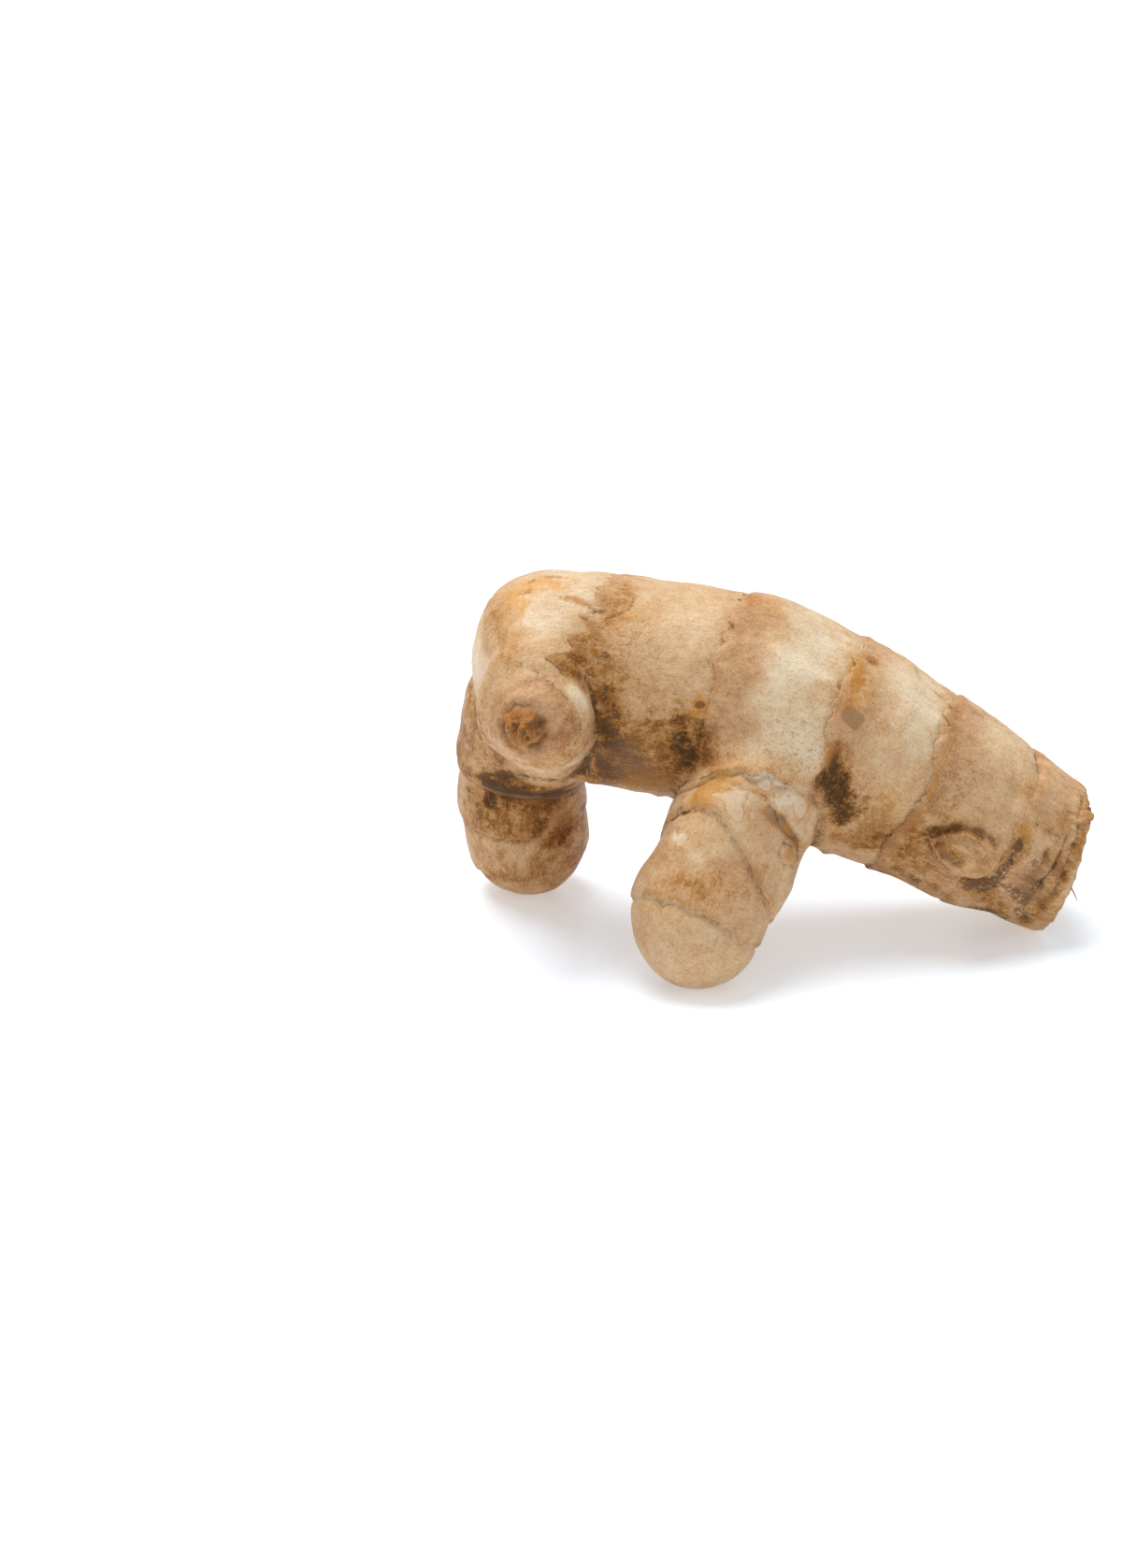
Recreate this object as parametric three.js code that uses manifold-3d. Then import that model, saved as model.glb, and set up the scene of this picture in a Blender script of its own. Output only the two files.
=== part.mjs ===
// White turmeric rhizome: one grown piece, lying on three feet.
// Millimetres, +Z up. X runs along the arched main stem, from its growing end to its broken end, and
// -Y is the front, where two side shoots grow out. The origin is under the middle, on the surface.
import * as THREE from "three";
import { mergeVertices } from "three/addons/utils/BufferGeometryUtils.js";
import Module from "manifold-3d";

const skinColour = 0xd9b88f; // dry cream-tan skin
const skinRoughness = 0.62;
const lipReach = 3.2; // length over which the skin falls away behind a node's lip
const mergeDistance = 1e-4; // corners closer than this become one
const restHeight = 0.6; // the three feet are flattened up to this height where they press down

// Each limb: path = points on its axis, girth = [distance along the axis, radius] stations,
// startCap / endCap = length over which that end rounds off (0 is a broken, flat end),
// depth = thickness front to back over thickness up and down, side = the direction that counts as its back,
// nodes = [distance along the axis, lip height] of the rings left by fallen leaves.
const limbs = {
  mainStem: {
    path: [
      [-54.5, 2.5, 49.0],
      [-38.5, 1.5, 51.0],
      [-22.0, 0.5, 48.2],
      [-5.0, 0.0, 45.4],
      [7.0, 0.0, 40.6],
      [23.5, 0.0, 31.6],
      [40.0, 0.0, 22.2],
      [64.0, 0.5, 8.4],
    ],
    girth: [
      [0, 17.4],
      [10, 18.2],
      [20, 18.8],
      [32, 19.5],
      [50, 20.0],
      [66, 19.6],
      [82, 18.4],
      [100, 16.8],
      [114, 14.6],
      [130, 12.4],
    ],
    startCap: 15,
    endCap: 0,
    depth: 0.97,
    side: [0, 1, 0],
    nodes: [
      [26, 0.55],
      [50, 0.45],
      [74, 0.45],
      [94, 0.4],
      [113, 0.35],
    ],
    sides: 44,
    steps: 56,
  },
  frontShoot: {
    path: [
      [7.0, 2.0, 42.0],
      [0.0, -7.0, 34.0],
      [-6.8, -17.0, 24.0],
      [-13.2, -26.0, 12.2],
      [-17.6, -32.0, 2.3],
    ],
    girth: [
      [0, 15.0],
      [10, 14.8],
      [18, 12.8],
      [24, 12.5],
      [31, 13.2],
      [42, 12.6],
      [56, 11.4],
    ],
    startCap: 6,
    endCap: 12,
    depth: 1,
    side: [1, 0, 0],
    nodes: [
      [22, 0.6],
      [31, 0.45],
      [42, 0.4],
    ],
    sides: 30,
    steps: 26,
  },
  leftStub: {
    path: [
      [-37.5, 1.0, 43.0],
      [-40.2, -10.5, 46.0],
      [-42.4, -20.0, 49.2],
      [-44.4, -28.8, 51.8],
    ],
    girth: [
      [0, 11.5],
      [14, 11.0],
      [21, 10.2],
      [31, 9.2],
    ],
    startCap: 5,
    endCap: 9,
    depth: 0.95,
    side: [1, 0, 0],
    nodes: [[24, 0.3]],
    sides: 30,
    steps: 20,
  },
  lowerShoot: {
    path: [
      [-40.5, 3.0, 46.0],
      [-44.0, 8.0, 36.0],
      [-45.5, 12.5, 24.5],
      [-44.5, 16.0, 12.6],
      [-42.0, 18.0, 0.4],
    ],
    girth: [
      [0, 14.5],
      [10, 13.6],
      [18, 11.6],
      [26, 11.4],
      [36, 11.6],
      [48, 10.6],
    ],
    startCap: 6,
    endCap: 10,
    depth: 1,
    side: [0, 1, 0],
    nodes: [
      [20, 0.5],
      [31, 0.45],
    ],
    sides: 30,
    steps: 26,
  },
};

// The main stem was snapped off its mother root: the break is a plane through this point.
const brokenEnd = { centre: [56.0, 0, 13.0], facing: [0.94, 0.08, -0.32] };

// A sleeping bud swells out of the front of the main stem: a ball stretched to these half sizes.
const bud = { centre: [35.5, -14.0, 21.8], halfSizes: [7.0, 4.4, 4.4], turn: 0.4, sides: 20 };

const wasm = await Module();
wasm.setup();

// Height of the skin above the smooth girth: a lip at each node that falls away towards the broken end.
function lipHeight(nodes, along) {
  return nodes.reduce((height, [place, lip]) => {
    const past = along - place;
    return past < 0 ? height : height + lip * Math.exp(-past / lipReach);
  }, 0);
}

// How much of the full girth is left near an end that rounds off over the length cap.
function endRounding(distance, cap) {
  if (cap === 0) return 1;
  const short = 1 - Math.min(1, distance / cap);
  return Math.sqrt(Math.max(0, 1 - short * short));
}

// The limb's outline from pole to pole, as lathe points (radius, distance along the axis).
function outline(limb, length) {
  const places = limb.girth.map(([along]) => along);
  const radii = limb.girth.map(([, radius]) => radius);
  const girth = new THREE.CubicInterpolant(places, radii, 1);
  const points = [new THREE.Vector2(0, 0)];
  for (let step = 1; step < limb.steps; step++) {
    const along = ((1 - Math.cos((Math.PI * step) / limb.steps)) / 2) * length;
    const full = girth.evaluate(along)[0] + lipHeight(limb.nodes, along);
    const rounding = endRounding(along, limb.startCap) * endRounding(length - along, limb.endCap);
    points.push(new THREE.Vector2(full * rounding, along));
  }
  if (limb.endCap === 0) points.push(new THREE.Vector2(girth.evaluate(length)[0], length));
  points.push(new THREE.Vector2(0, length));
  return points;
}

// A closed geometry as a solid that can be joined and cut, without the slivers at its poles.
function toSolid(geometry) {
  geometry.deleteAttribute("normal");
  geometry.deleteAttribute("uv");
  const merged = mergeVertices(geometry, mergeDistance);
  const triVerts = [];
  for (let i = 0; i < merged.index.count; i += 3) {
    const [a, b, c] = [0, 1, 2].map((corner) => merged.index.getX(i + corner));
    if (a !== b && b !== c && c !== a) triVerts.push(a, b, c);
  }
  const vertProperties = merged.attributes.position.array;
  return new wasm.Manifold(
    new wasm.Mesh({ numProp: 3, vertProperties, triVerts: new Uint32Array(triVerts) }),
  );
}

// A limb turned on a lathe along its outline, then bent so that its axis follows the path.
function limbSolid(limb) {
  const axis = new THREE.CatmullRomCurve3(limb.path.map((point) => new THREE.Vector3(...point)));
  const length = axis.getLength();
  const geometry = new THREE.LatheGeometry(outline(limb, length), limb.sides);
  const side = new THREE.Vector3(...limb.side);
  const corners = geometry.attributes.position;
  for (let i = 0; i < corners.count; i++) {
    const share = THREE.MathUtils.clamp(corners.getY(i) / length, 0, 1);
    const along = axis.getTangentAt(share);
    const back = side.clone().addScaledVector(along, -side.dot(along)).normalize();
    const over = new THREE.Vector3().crossVectors(back, along);
    const point = axis
      .getPointAt(share)
      .addScaledVector(back, corners.getX(i) * limb.depth)
      .addScaledVector(over, corners.getZ(i));
    corners.setXYZ(i, point.x, point.y, point.z);
  }
  return toSolid(geometry);
}

// A bud leaning along the stem by its turn about Y.
function budSolid({ centre, halfSizes, turn, sides }) {
  const geometry = new THREE.SphereGeometry(1, sides, sides / 2);
  geometry.scale(...halfSizes).rotateY(turn).translate(...centre);
  return toSolid(geometry);
}

// The far side of a plane is cut away.
function cutBeyond(solid, centre, facing) {
  const { min, max } = solid.boundingBox();
  const reach = new THREE.Vector3(...max).distanceTo(new THREE.Vector3(...min));
  const block = new THREE.BoxGeometry(reach, reach, reach);
  block.translate(0, 0, reach / 2);
  const turn = new THREE.Quaternion().setFromUnitVectors(
    new THREE.Vector3(0, 0, 1),
    new THREE.Vector3(...facing).normalize(),
  );
  block.applyQuaternion(turn);
  block.translate(...centre);
  return solid.subtract(toSolid(block));
}

function toMesh(solid, name, material) {
  const made = solid.getMesh();
  const geometry = new THREE.BufferGeometry();
  geometry.setAttribute("position", new THREE.BufferAttribute(made.vertProperties, 3));
  geometry.setIndex(new THREE.BufferAttribute(made.triVerts, 1));
  geometry.computeVertexNormals();
  const mesh = new THREE.Mesh(geometry, material);
  mesh.name = name;
  return mesh;
}

const { mainStem, ...shoots } = limbs;
const stem = cutBeyond(limbSolid(mainStem), brokenEnd.centre, brokenEnd.facing);
const grown = Object.values(shoots).reduce(
  (whole, limb) => whole.add(limbSolid(limb)),
  stem.add(budSolid(bud)),
);
const standing = cutBeyond(grown, [0, 0, restHeight], [0, 0, -1]);
const skin = new THREE.MeshStandardMaterial({
  color: skinColour,
  roughness: skinRoughness,
  metalness: 0,
});
const rhizome = toMesh(standing, "rhizome", skin);

// The origin sits under the middle of the piece.
rhizome.geometry.computeBoundingBox();
const middle = rhizome.geometry.boundingBox.getCenter(new THREE.Vector3());
rhizome.geometry.translate(-middle.x, -middle.y, -rhizome.geometry.boundingBox.min.z);

const root = new THREE.Group();
root.add(rhizome);
export default root;
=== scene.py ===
import math

import bmesh
import bpy
import numpy as np
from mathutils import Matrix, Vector, noise
from mathutils.bvhtree import BVHTree


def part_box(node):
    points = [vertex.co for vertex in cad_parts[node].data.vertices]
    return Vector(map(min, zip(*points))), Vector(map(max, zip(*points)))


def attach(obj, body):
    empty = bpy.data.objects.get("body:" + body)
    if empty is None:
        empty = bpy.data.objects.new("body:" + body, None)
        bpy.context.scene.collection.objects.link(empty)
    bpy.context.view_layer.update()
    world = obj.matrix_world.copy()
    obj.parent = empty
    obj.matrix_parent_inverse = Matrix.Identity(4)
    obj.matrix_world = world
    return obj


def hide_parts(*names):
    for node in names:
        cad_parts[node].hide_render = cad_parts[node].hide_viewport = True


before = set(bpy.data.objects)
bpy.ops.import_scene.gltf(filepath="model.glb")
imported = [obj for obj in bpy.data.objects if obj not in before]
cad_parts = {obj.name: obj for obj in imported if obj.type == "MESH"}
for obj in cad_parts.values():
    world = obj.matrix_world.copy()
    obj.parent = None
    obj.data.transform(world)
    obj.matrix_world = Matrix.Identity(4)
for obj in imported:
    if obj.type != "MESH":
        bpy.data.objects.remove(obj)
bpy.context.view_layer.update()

mm = 0.001
lowCorner, highCorner = (np.array(corner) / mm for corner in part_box("rhizome"))
print("frame: rhizome is", (highCorner - lowCorner).round(1), "mm")

# Each limb is a line of points in millimetres with the radius along it. Places on the skin are then
# given as millimetres along the limb and degrees round it. On the stem 0 is the top and 90 the front;
# on the front shoot and the stub 0 is below, 90 the right and 180 the top; on the lower shoot 0 is the
# right and 90 the front.
limbs = {
    "stem": {
        "axis": [(-56.4, 7.7, 48.4), (-40.4, 6.7, 50.4), (-23.9, 5.7, 47.6), (-6.9, 5.2, 44.8),
                 (5.1, 5.2, 40.0), (21.6, 5.2, 31.0), (38.1, 5.2, 21.6), (62.1, 5.7, 7.8)],
        "girth": [(0, 17.4), (10, 18.2), (32, 19.5), (50, 20.0), (66, 19.6), (82, 18.4), (100, 16.8),
                  (114, 14.6), (130, 12.4)],
        "side": (0, -1, 0),
    },
    "front": {
        "axis": [(5.1, 7.2, 41.4), (-1.9, -1.8, 33.4), (-8.7, -11.8, 23.4), (-15.1, -20.8, 11.6),
                 (-19.5, -26.8, 1.7)],
        "girth": [(0, 15.0), (10, 14.8), (18, 12.8), (24, 12.5), (31, 13.2), (42, 12.6), (56, 11.4)],
        "side": (1, 0, 0),
    },
    "stub": {
        "axis": [(-39.4, 6.2, 42.4), (-42.1, -5.3, 45.4), (-44.3, -14.8, 48.6), (-46.3, -23.6, 51.2)],
        "girth": [(0, 11.5), (14, 11.0), (21, 10.2), (31, 9.2)],
        "side": (1, 0, 0),
    },
    "lower": {
        "axis": [(-42.4, 8.2, 45.4), (-45.9, 13.2, 35.4), (-47.4, 17.7, 23.9), (-46.4, 21.2, 12.0),
                 (-43.9, 23.2, -0.2)],
        "girth": [(0, 14.5), (10, 13.6), (18, 11.6), (26, 11.4), (36, 11.6), (48, 10.6)],
        "side": (0, -1, 0),
    },
}
stepsPerSpan = 16
turnGrid = np.arange(-180, 180, 0.5)


def traceAxis(limb):
    # a smooth line through the axis points, with its length so far and its directions
    points = np.array(limb["axis"], float)
    points = np.vstack([2 * points[0] - points[1], points, 2 * points[-1] - points[-2]])
    spans = []
    for a, b, c, d in zip(points, points[1:], points[2:], points[3:]):
        t = np.linspace(0, 1, stepsPerSpan, endpoint=False)[:, None]
        spans.append(b + 0.5 * t * (c - a + t * (2 * a - 5 * b + 4 * c - d + t * (3 * (b - c) + d - a))))
    line = np.vstack(spans + [points[-2:-1]])
    length = np.concatenate([[0], np.cumsum(np.linalg.norm(np.diff(line, axis=0), axis=1))])
    ahead = np.gradient(line, axis=0)
    ahead /= np.linalg.norm(ahead, axis=1)[:, None]
    side = np.array(limb["side"], float)
    side = side - ahead * (ahead @ side)[:, None]
    side /= np.linalg.norm(side, axis=1)[:, None]
    limb.update(line=line, length=length, ahead=ahead, across=side, over=np.cross(side, ahead))


def findPlace(co, limb):
    # where each point is on a limb, its distance outside the limb's radius, and the way out
    nearest = np.concatenate([
        ((part[:, None] - limb["line"]) ** 2).sum(2).argmin(1) for part in np.array_split(co, 24)])
    out = co - limb["line"][nearest]
    forward = (out * limb["ahead"][nearest]).sum(1)
    x = (out * limb["across"][nearest]).sum(1)
    y = (out * limb["over"][nearest]).sum(1)
    along = limb["length"][nearest] + forward
    reach = np.linalg.norm(out, axis=1)
    outside = reach - np.interp(along, *zip(*limb["girth"]))
    return {"along": along, "around": np.degrees(np.arctan2(x, y)), "radius": np.hypot(x, y),
            "outside": outside, "out": out / reach[:, None]}


def smoothStep(low, high, value):
    t = np.clip((value - low) / (high - low), 0, 1)
    return t * t * (3 - 2 * t)


def bell(value, middle, width):
    return np.exp(-((value - middle) / width) ** 2)


def bumps(co, size, seed=0):
    return np.array([noise.noise(point) for point in (co / size + seed * 13.7).tolist()])


def bumpSum(co, *layers):
    # noise at several sizes, each given as (size, amount, seed)
    return sum(amount * bumps(co, size, seed) for size, amount, seed in layers)


def turnFrom(around, middle):
    return (around - middle + 180) % 360 - 180


def byAngle(around, pairs):
    # a value listed at some degrees round a limb, read at any angle
    return np.interp(around, *zip(*sorted(pairs)), period=360)


for limb in limbs.values():
    traceAxis(limb)
print("limbs:", {name: round(float(limb["length"][-1]), 1) for name, limb in limbs.items()})

# the even mesh, and how widely each shoot's foot flares into the stem, by degrees round the shoot
skinMesh = {"voxel": 1.09, "footSmoothing": 10, "smoothing": 4, "smallestWay": 0.6, "groupSteps": 10}
flares = {
    "front": [(180, 17), (155, 14), (125, 8), (90, 3), (0, 4), (-60, 3), (-115, 2.5), (-140, 6),
              (-160, 13)],
    "stub": [(180, 16), (140, 7), (100, 1.5), (30, 1.5), (-30, 4), (-90, 9), (-135, 15)],
    "lower": [(0, 6), (90, 6), (180, 7), (-90, 8)],
}


def meshVectors(mesh, name):
    values = np.empty(len(mesh.vertices) * 3, np.float32)
    mesh.vertices.foreach_get(name, values)
    return values.reshape(-1, 3).astype(float)


def meshPoints(mesh):
    return meshVectors(mesh, "co") / mm


def moveMesh(mesh, co):
    mesh.vertices.foreach_set("co", (co * mm).astype(np.float32).ravel())
    mesh.update()


def bakedMesh(obj):
    graph = bpy.context.evaluated_depsgraph_get()
    return bpy.data.meshes.new_from_object(obj.evaluated_get(graph))


def bakeModifiers(obj):
    baked = bakedMesh(obj)
    obj.modifiers.clear()
    obj.data = baked


def newObject(name, data):
    obj = bpy.data.objects.new(name, data)
    bpy.context.scene.collection.objects.link(obj)
    return obj


def meshFrom(bm, name):
    mesh = bpy.data.meshes.new(name)
    bm.to_mesh(mesh)
    bm.free()
    return mesh


def smoothShading(mesh):
    for polygon in mesh.polygons:
        polygon.use_smooth = True


def startSkin():
    # one even mesh over the whole frame solid
    bm = bmesh.new()
    bm.from_mesh(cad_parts["rhizome"].data)
    bmesh.ops.remove_doubles(bm, verts=bm.verts, dist=0.00001)
    skin = newObject("rhizomeSkin", meshFrom(bm, "rhizomeSkin"))
    remesh = skin.modifiers.new("even", "REMESH")
    remesh.mode = "VOXEL"
    remesh.voxel_size = skinMesh["voxel"] * mm
    bakeModifiers(skin)
    return skin


def flareFeet(skin):
    # fills the corner where each shoot leaves the stem, then smooths it
    co = meshPoints(skin.data)
    stem = findPlace(co, limbs["stem"])
    move = np.zeros_like(co)
    near = np.zeros(len(co))
    for name, widths in flares.items():
        shoot = findPlace(co, limbs[name])
        width = byAngle(shoot["around"], widths)
        gap = shoot["outside"] - stem["outside"]
        share = np.clip(1 - abs(gap) / width, 0, 1) * (shoot["along"] > 1)
        lean = np.clip(0.5 - 0.5 * gap / width, 0, 1)[:, None]
        way = stem["out"] * (1 - lean) + shoot["out"] * lean
        size = np.linalg.norm(way, axis=1)[:, None]
        rise = (width / 4 * share ** 2)[:, None]
        move += way / size * rise / np.maximum(size, skinMesh["smallestWay"])
        near = np.maximum(near, smoothStep(0, 0.5, share) * smoothStep(2, 8, width))
    moveMesh(skin.data, co + move)
    group = skin.vertex_groups.new(name="feet")
    steps = skinMesh["groupSteps"]
    for level in range(1, steps + 1):
        chosen = np.nonzero((near * steps).round() == level)[0]
        group.add(chosen.tolist(), level / steps, "REPLACE")
    smooth = skin.modifiers.new("feet", "SMOOTH")
    smooth.vertex_group = "feet"
    smooth.iterations = skinMesh["footSmoothing"]
    even = skin.modifiers.new("even", "SMOOTH")
    even.iterations = skinMesh["smoothing"]
    bakeModifiers(skin)
    finer = skin.modifiers.new("finer", "SUBSURF")
    finer.levels = finer.render_levels = 1
    bakeModifiers(skin)


skin = startSkin()
flareFeet(skin)
print("skin:", len(skin.data.polygons), "faces")

# The leaf-scar rings. Each line is a list of (degrees round, millimetres along). The old leaf base lies
# on the side that toward points to; lip is the step's height, band how far its papery skin reaches, torn
# how ragged its edge is, paper and brown how that skin is coloured, and dark how dark the edge is
# painted: its line, and painted shade with some dirt in the groove below the lip's step.
rings = {
    "stem": [
        {"line": [(-140, 8), (-60, 7), (0, 5), (40, 5), (90, 7), (180, 9)],
         "toward": 1, "lip": 0.1, "band": 3, "torn": 0.3, "paper": 0.3},
        {"line": [(-140, 27), (-90, 27.5), (-40, 27), (-7, 23.6), (16, 21.5), (32, 21.3), (39, 20.4),
          (48, 19.9), (50, 18.5), (53, 17.6), (57, 18.9), (60, 18.6), (64, 14.9), (67, 16.5), (72, 18),
          (76, 19.4), (79, 22.5), (95, 23.6), (111, 25.2), (142, 25.8), (180, 26)],
         "toward": 1, "lip": 0.14, "band": 8, "torn": 0.9, "paper": 0.4, "brown": 0.75, "dark": 0.7},
        {"line": [(-140, 48), (-90, 49), (-40, 49), (-10, 48.4), (3, 47), (19, 45.6), (32, 46),
          (41, 44.8), (51, 43.5), (65, 44.3), (85, 43.5), (100, 43), (120, 44), (180, 46)],
         "toward": 1, "lip": 0.2, "band": 11, "torn": 0.9, "paper": 0.7, "dark": 0.3},
        {"line": [(-140, 70), (-90, 68.5), (-40, 67), (-1, 66.1), (17, 64.7), (28, 64.2), (40, 63),
          (48, 63.1), (55, 62.8), (62, 63.6), (69, 63.2), (72, 63), (74, 64.4), (83, 64.6), (89, 66.1),
          (110, 68), (140, 70), (180, 71)],
         "toward": 1, "lip": 0.22, "band": 8, "torn": 0.8, "paper": 0.5, "brown": 0.1, "dark": 0.35},
        {"line": [(-140, 89), (-90, 89.5), (-40, 88.5), (-4, 86), (22, 83.8), (26, 83.4), (31, 84.9),
          (37, 82.6), (42, 83.7), (48, 82.7), (55, 84.1), (65, 85.2), (75, 85.8), (83, 85.4), (94, 85),
          (105, 84.5), (115, 84.1), (137, 85.9), (180, 87)],
         "toward": 1, "lip": 0.2, "band": 10, "torn": 0.8, "paper": 0.6, "brown": 0.1, "dark": 0.4},
        {"line": [(-140, 106), (-90, 107), (-40, 105), (10, 104.3), (24, 105.5), (65, 104.1), (80, 104.1),
          (99, 104.5), (118, 100.7), (180, 103)],
         "toward": 1, "lip": 0.16, "band": 5, "torn": 0.7, "paper": 0.4, "dark": 0.15},
    ],
    "front": [
        {"line": [(-90, 25), (-120, 27), (-145, 26.6), (-153, 25.5), (-157, 24.6), (-161, 23.8),
          (-171, 23.1), (-175, 22.3), (-178, 23), (176, 23), (171, 21), (168, 21), (164, 21.8), (157, 21),
          (150, 20.3), (142, 19.6), (133, 18.7), (125, 19), (113, 19), (90, 20), (45, 21), (0, 22),
          (-45, 24)],
         "toward": -1, "lip": 0.5, "band": 4, "torn": 0.2, "paper": 0.2, "dark": 1},
        {"line": [(-124, 32.4), (-134, 31.2), (-143, 30.7), (-153, 30.2), (-162, 29.9), (-168, 30.1),
          (-176, 31.3), (174, 32.7), (168, 33.6), (161, 34.4), (150, 36.5), (135, 38.5), (90, 41),
          (45, 40), (0, 37), (-45, 34.5), (-90, 33)],
         "toward": -1, "lip": 0.36, "band": 3, "torn": 0.15, "paper": 0.2, "dark": 0.7},
        {"line": [(0, 47), (90, 46), (180, 46.5), (-90, 46)],
         "toward": -1, "lip": 0.4, "band": 5, "torn": 0.6, "paper": 0.5},
    ],
    "stub": [
        {"line": [(-150, 28.3), (-176, 28.8), (166, 28.7), (140, 28), (108, 27.2), (85, 27.4), (53, 28),
          (0, 28), (-50, 27.6), (-100, 27.6)],
         "toward": 1, "lip": 0.05, "band": 9, "torn": 0.3, "paper": 0.3, "brown": 0.15, "dark": 0.25},
        {"line": [(0, 21.5), (90, 22), (180, 22.5), (-90, 21.5)],
         "toward": -1, "lip": 0.04, "band": 3, "torn": 0.3, "paper": 0.1},
    ],
    "lower": [
        {"line": [(105, 18), (75, 17.2), (50, 18.4), (0, 19), (-90, 18), (180, 17)],
         "toward": -1, "lip": 0.5, "band": 5, "torn": 0.6, "paper": 0.6},
        {"line": [(0, 30.5), (90, 28.8), (180, 29), (-90, 31)],
         "toward": -1, "lip": 0.5, "band": 5, "torn": 0.6, "paper": 0.5},
        {"line": [(0, 41), (90, 40), (180, 40.5), (-90, 42)],
         "toward": -1, "lip": 0.35, "band": 4, "torn": 0.6, "paper": 0.5},
    ],
}
# how a ring's torn edge is drawn, and the step's shape across it, in millimetres
ringTeeth = {"layers": [(4.5, 0.75, 0), (1.6, 0.45, 3), (0.7, 0.22, 5)], "spikes": 1.6, "spikeSize": 1.9,
             "spikesAbove": 0.42, "calmLength": 13}
ringShape = {"step": 0.35, "fade": 5, "dip": 0.6, "dipFade": 1.3, "swell": 0.8, "swellExtra": 0.15,
             "swellAt": 3, "swellWidth": 5, "groove": 0.7, "grooveAt": -0.5, "grooveWidth": 0.5}
# Grooves on each limb: the line as (along, round), then depth, width, and how dark they are painted,
# as painted shade and dirt in the groove.
creases = {
    "stem": [
        ([(89.8, 93.5), (92, 90.5), (93.6, 86), (95.4, 82.3), (97.4, 81), (99.6, 81.5),
          (102, 84)], 0.7, 1.1, 0.12),
        ([(89.4, 98.2), (90.8, 97), (92.4, 94), (93.8, 89.5), (95.3, 86.3), (96.5, 86), (97.8, 87),
          (99.4, 90)], -0.5, 0.5, 0),
        ([(89.3, 98.6), (91, 102), (92.4, 105.5), (94.3, 107), (96.2, 108)], 0.45, 0.4, 0.75),
        ([(99.3, 111), (102.5, 109), (104.2, 102), (105, 93), (105.8, 87), (104.9, 81),
          (105.6, 73)], 0.6, 0.6, 0.45),
        ([(93.4, 101), (94.4, 103.2), (95.8, 102.5), (96.9, 98.5)], 0.3, 0.35, 0.8),
        ([(92.6, 98), (94.2, 96.5), (95.8, 93)], 0.2, 0.35, 0.3),
        ([(76, 0), (80, 7), (83.5, 14), (86, 18)], 0.4, 0.8, 0.1),
        ([(89, 8), (92, 2), (95.5, -2)], 0.35, 0.8, 0.1),
        ([(114.6, 20), (114.8, 34), (115.4, 46), (115.8, 58), (116.2, 72), (117, 88),
          (117.2, 108)], 0.4, 0.45, 0.55),
        ([(113.8, 97), (114, 90), (114.4, 78), (114, 66), (113.7, 55)], 0.4, 0.35, 0.75),
        ([(111.5, 70), (112, 78), (111, 88)], 0.25, 0.5, 0.3),
        ([(26.8, 19), (26.4, 27), (24.8, 33), (23, 37)], 0.15, 0.35, 0.7),
        ([(104, 66), (101.5, 56), (100.5, 44)], 0.25, 1.2, 0.05),
        ([(78, 100), (80.5, 92), (81, 84)], 0.15, 0.5, 0.2),
        ([(23.2, 82), (23.7, 88), (24.5, 98), (25.1, 117), (25.2, 132), (25, 147)], 0.6, 0.45, 1.1),
        ([(40, -40), (44, -52), (45, -66)], 0.3, 0.9, 0.2),
        ([(74, -96), (80, -104), (84, -118)], 0.35, 0.8, 0.4),
    ],
    "front": [
        ([(24.4, -155), (24.9, -162), (24.8, -170), (25, -177), (24.7, -185), (24.3, -193), (24.7, -201),
          (25.4, -210), (25.5, -225), (25.2, -245)], 0.35, 0.35, 0.3),
        ([(24.6, -192), (25.4, -201), (26.3, -211), (26.4, -225), (25.8, -243)], 0.2, 0.3, 0.5),
        ([(25.6, -206), (26.9, -214), (27.2, -226), (26.6, -240)], 0.25, 0.3, 0.45),
        ([(25.6, -247), (28.6, -252)], 0.5, 0.4, 0.9),
        ([(32.2, -126), (31.2, -134), (30.7, -143)], 0.6, 0.6, 0.9),
        ([(32, -233), (31, -244), (29, -246), (28.2, -235), (28.9, -225), (31, -223),
          (32, -232)], 0.25, 0.35, 0.5),
    ],
    "stub": [
        ([(29.2, -150), (29.4, -180), (29.2, -215), (28.4, -250)], 0.16, 0.6, 0.15),
        ([(25.5, -170), (25.8, -205), (25.2, -240), (24.4, -270)], 0.12, 0.6, 0.1),
        ([(27.4, 150), (27.6, 128), (27, 106), (26.6, 86), (26.8, 62)], 0.12, 0.4, 0.5),
        ([(26.6, -165), (27.2, -190), (27.4, -212)], 0.12, 0.4, 0.55),
    ],
}
creaseRim = {"height": 0.3, "at": 2.1, "width": 0.9}  # the raised skin beside a groove
creaseWander = {"amount": 0.35, "size": 1.5}


def ringLine(ring, radius, seed):
    # the ring's edge for each half degree: the smooth line plus its torn teeth
    line = byAngle(turnGrid, ring["line"])
    window = np.hanning(13)
    line = np.convolve(np.concatenate([line[-6:], line, line[:6]]), window / window.sum(), "valid")
    turn = np.radians(turnGrid)
    circle = np.stack([np.cos(turn), np.sin(turn), np.full(len(turn), seed * 2.3)], 1) * [radius, radius, 1]
    spikes = abs(bumps(circle, ringTeeth["spikeSize"], 8)) * 2 - ringTeeth["spikesAbove"]
    spikes = ringTeeth["spikes"] * np.maximum(spikes, 0) ** 1.3
    rough = np.clip(0.55 + 2.2 * bumps(circle, ringTeeth["calmLength"], 11), 0.15, 1.3)
    teeth = bumpSum(circle, *ringTeeth["layers"]) - ring["toward"] * spikes
    ring["smooth"] = line
    ring["edge"] = line + ring["torn"] * rough * teeth


for limbName, limbRings in rings.items():
    for number, ring in enumerate(limbRings):
        ringLine(ring, limbs[limbName]["girth"][1][1], number + len(limbName))


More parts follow.
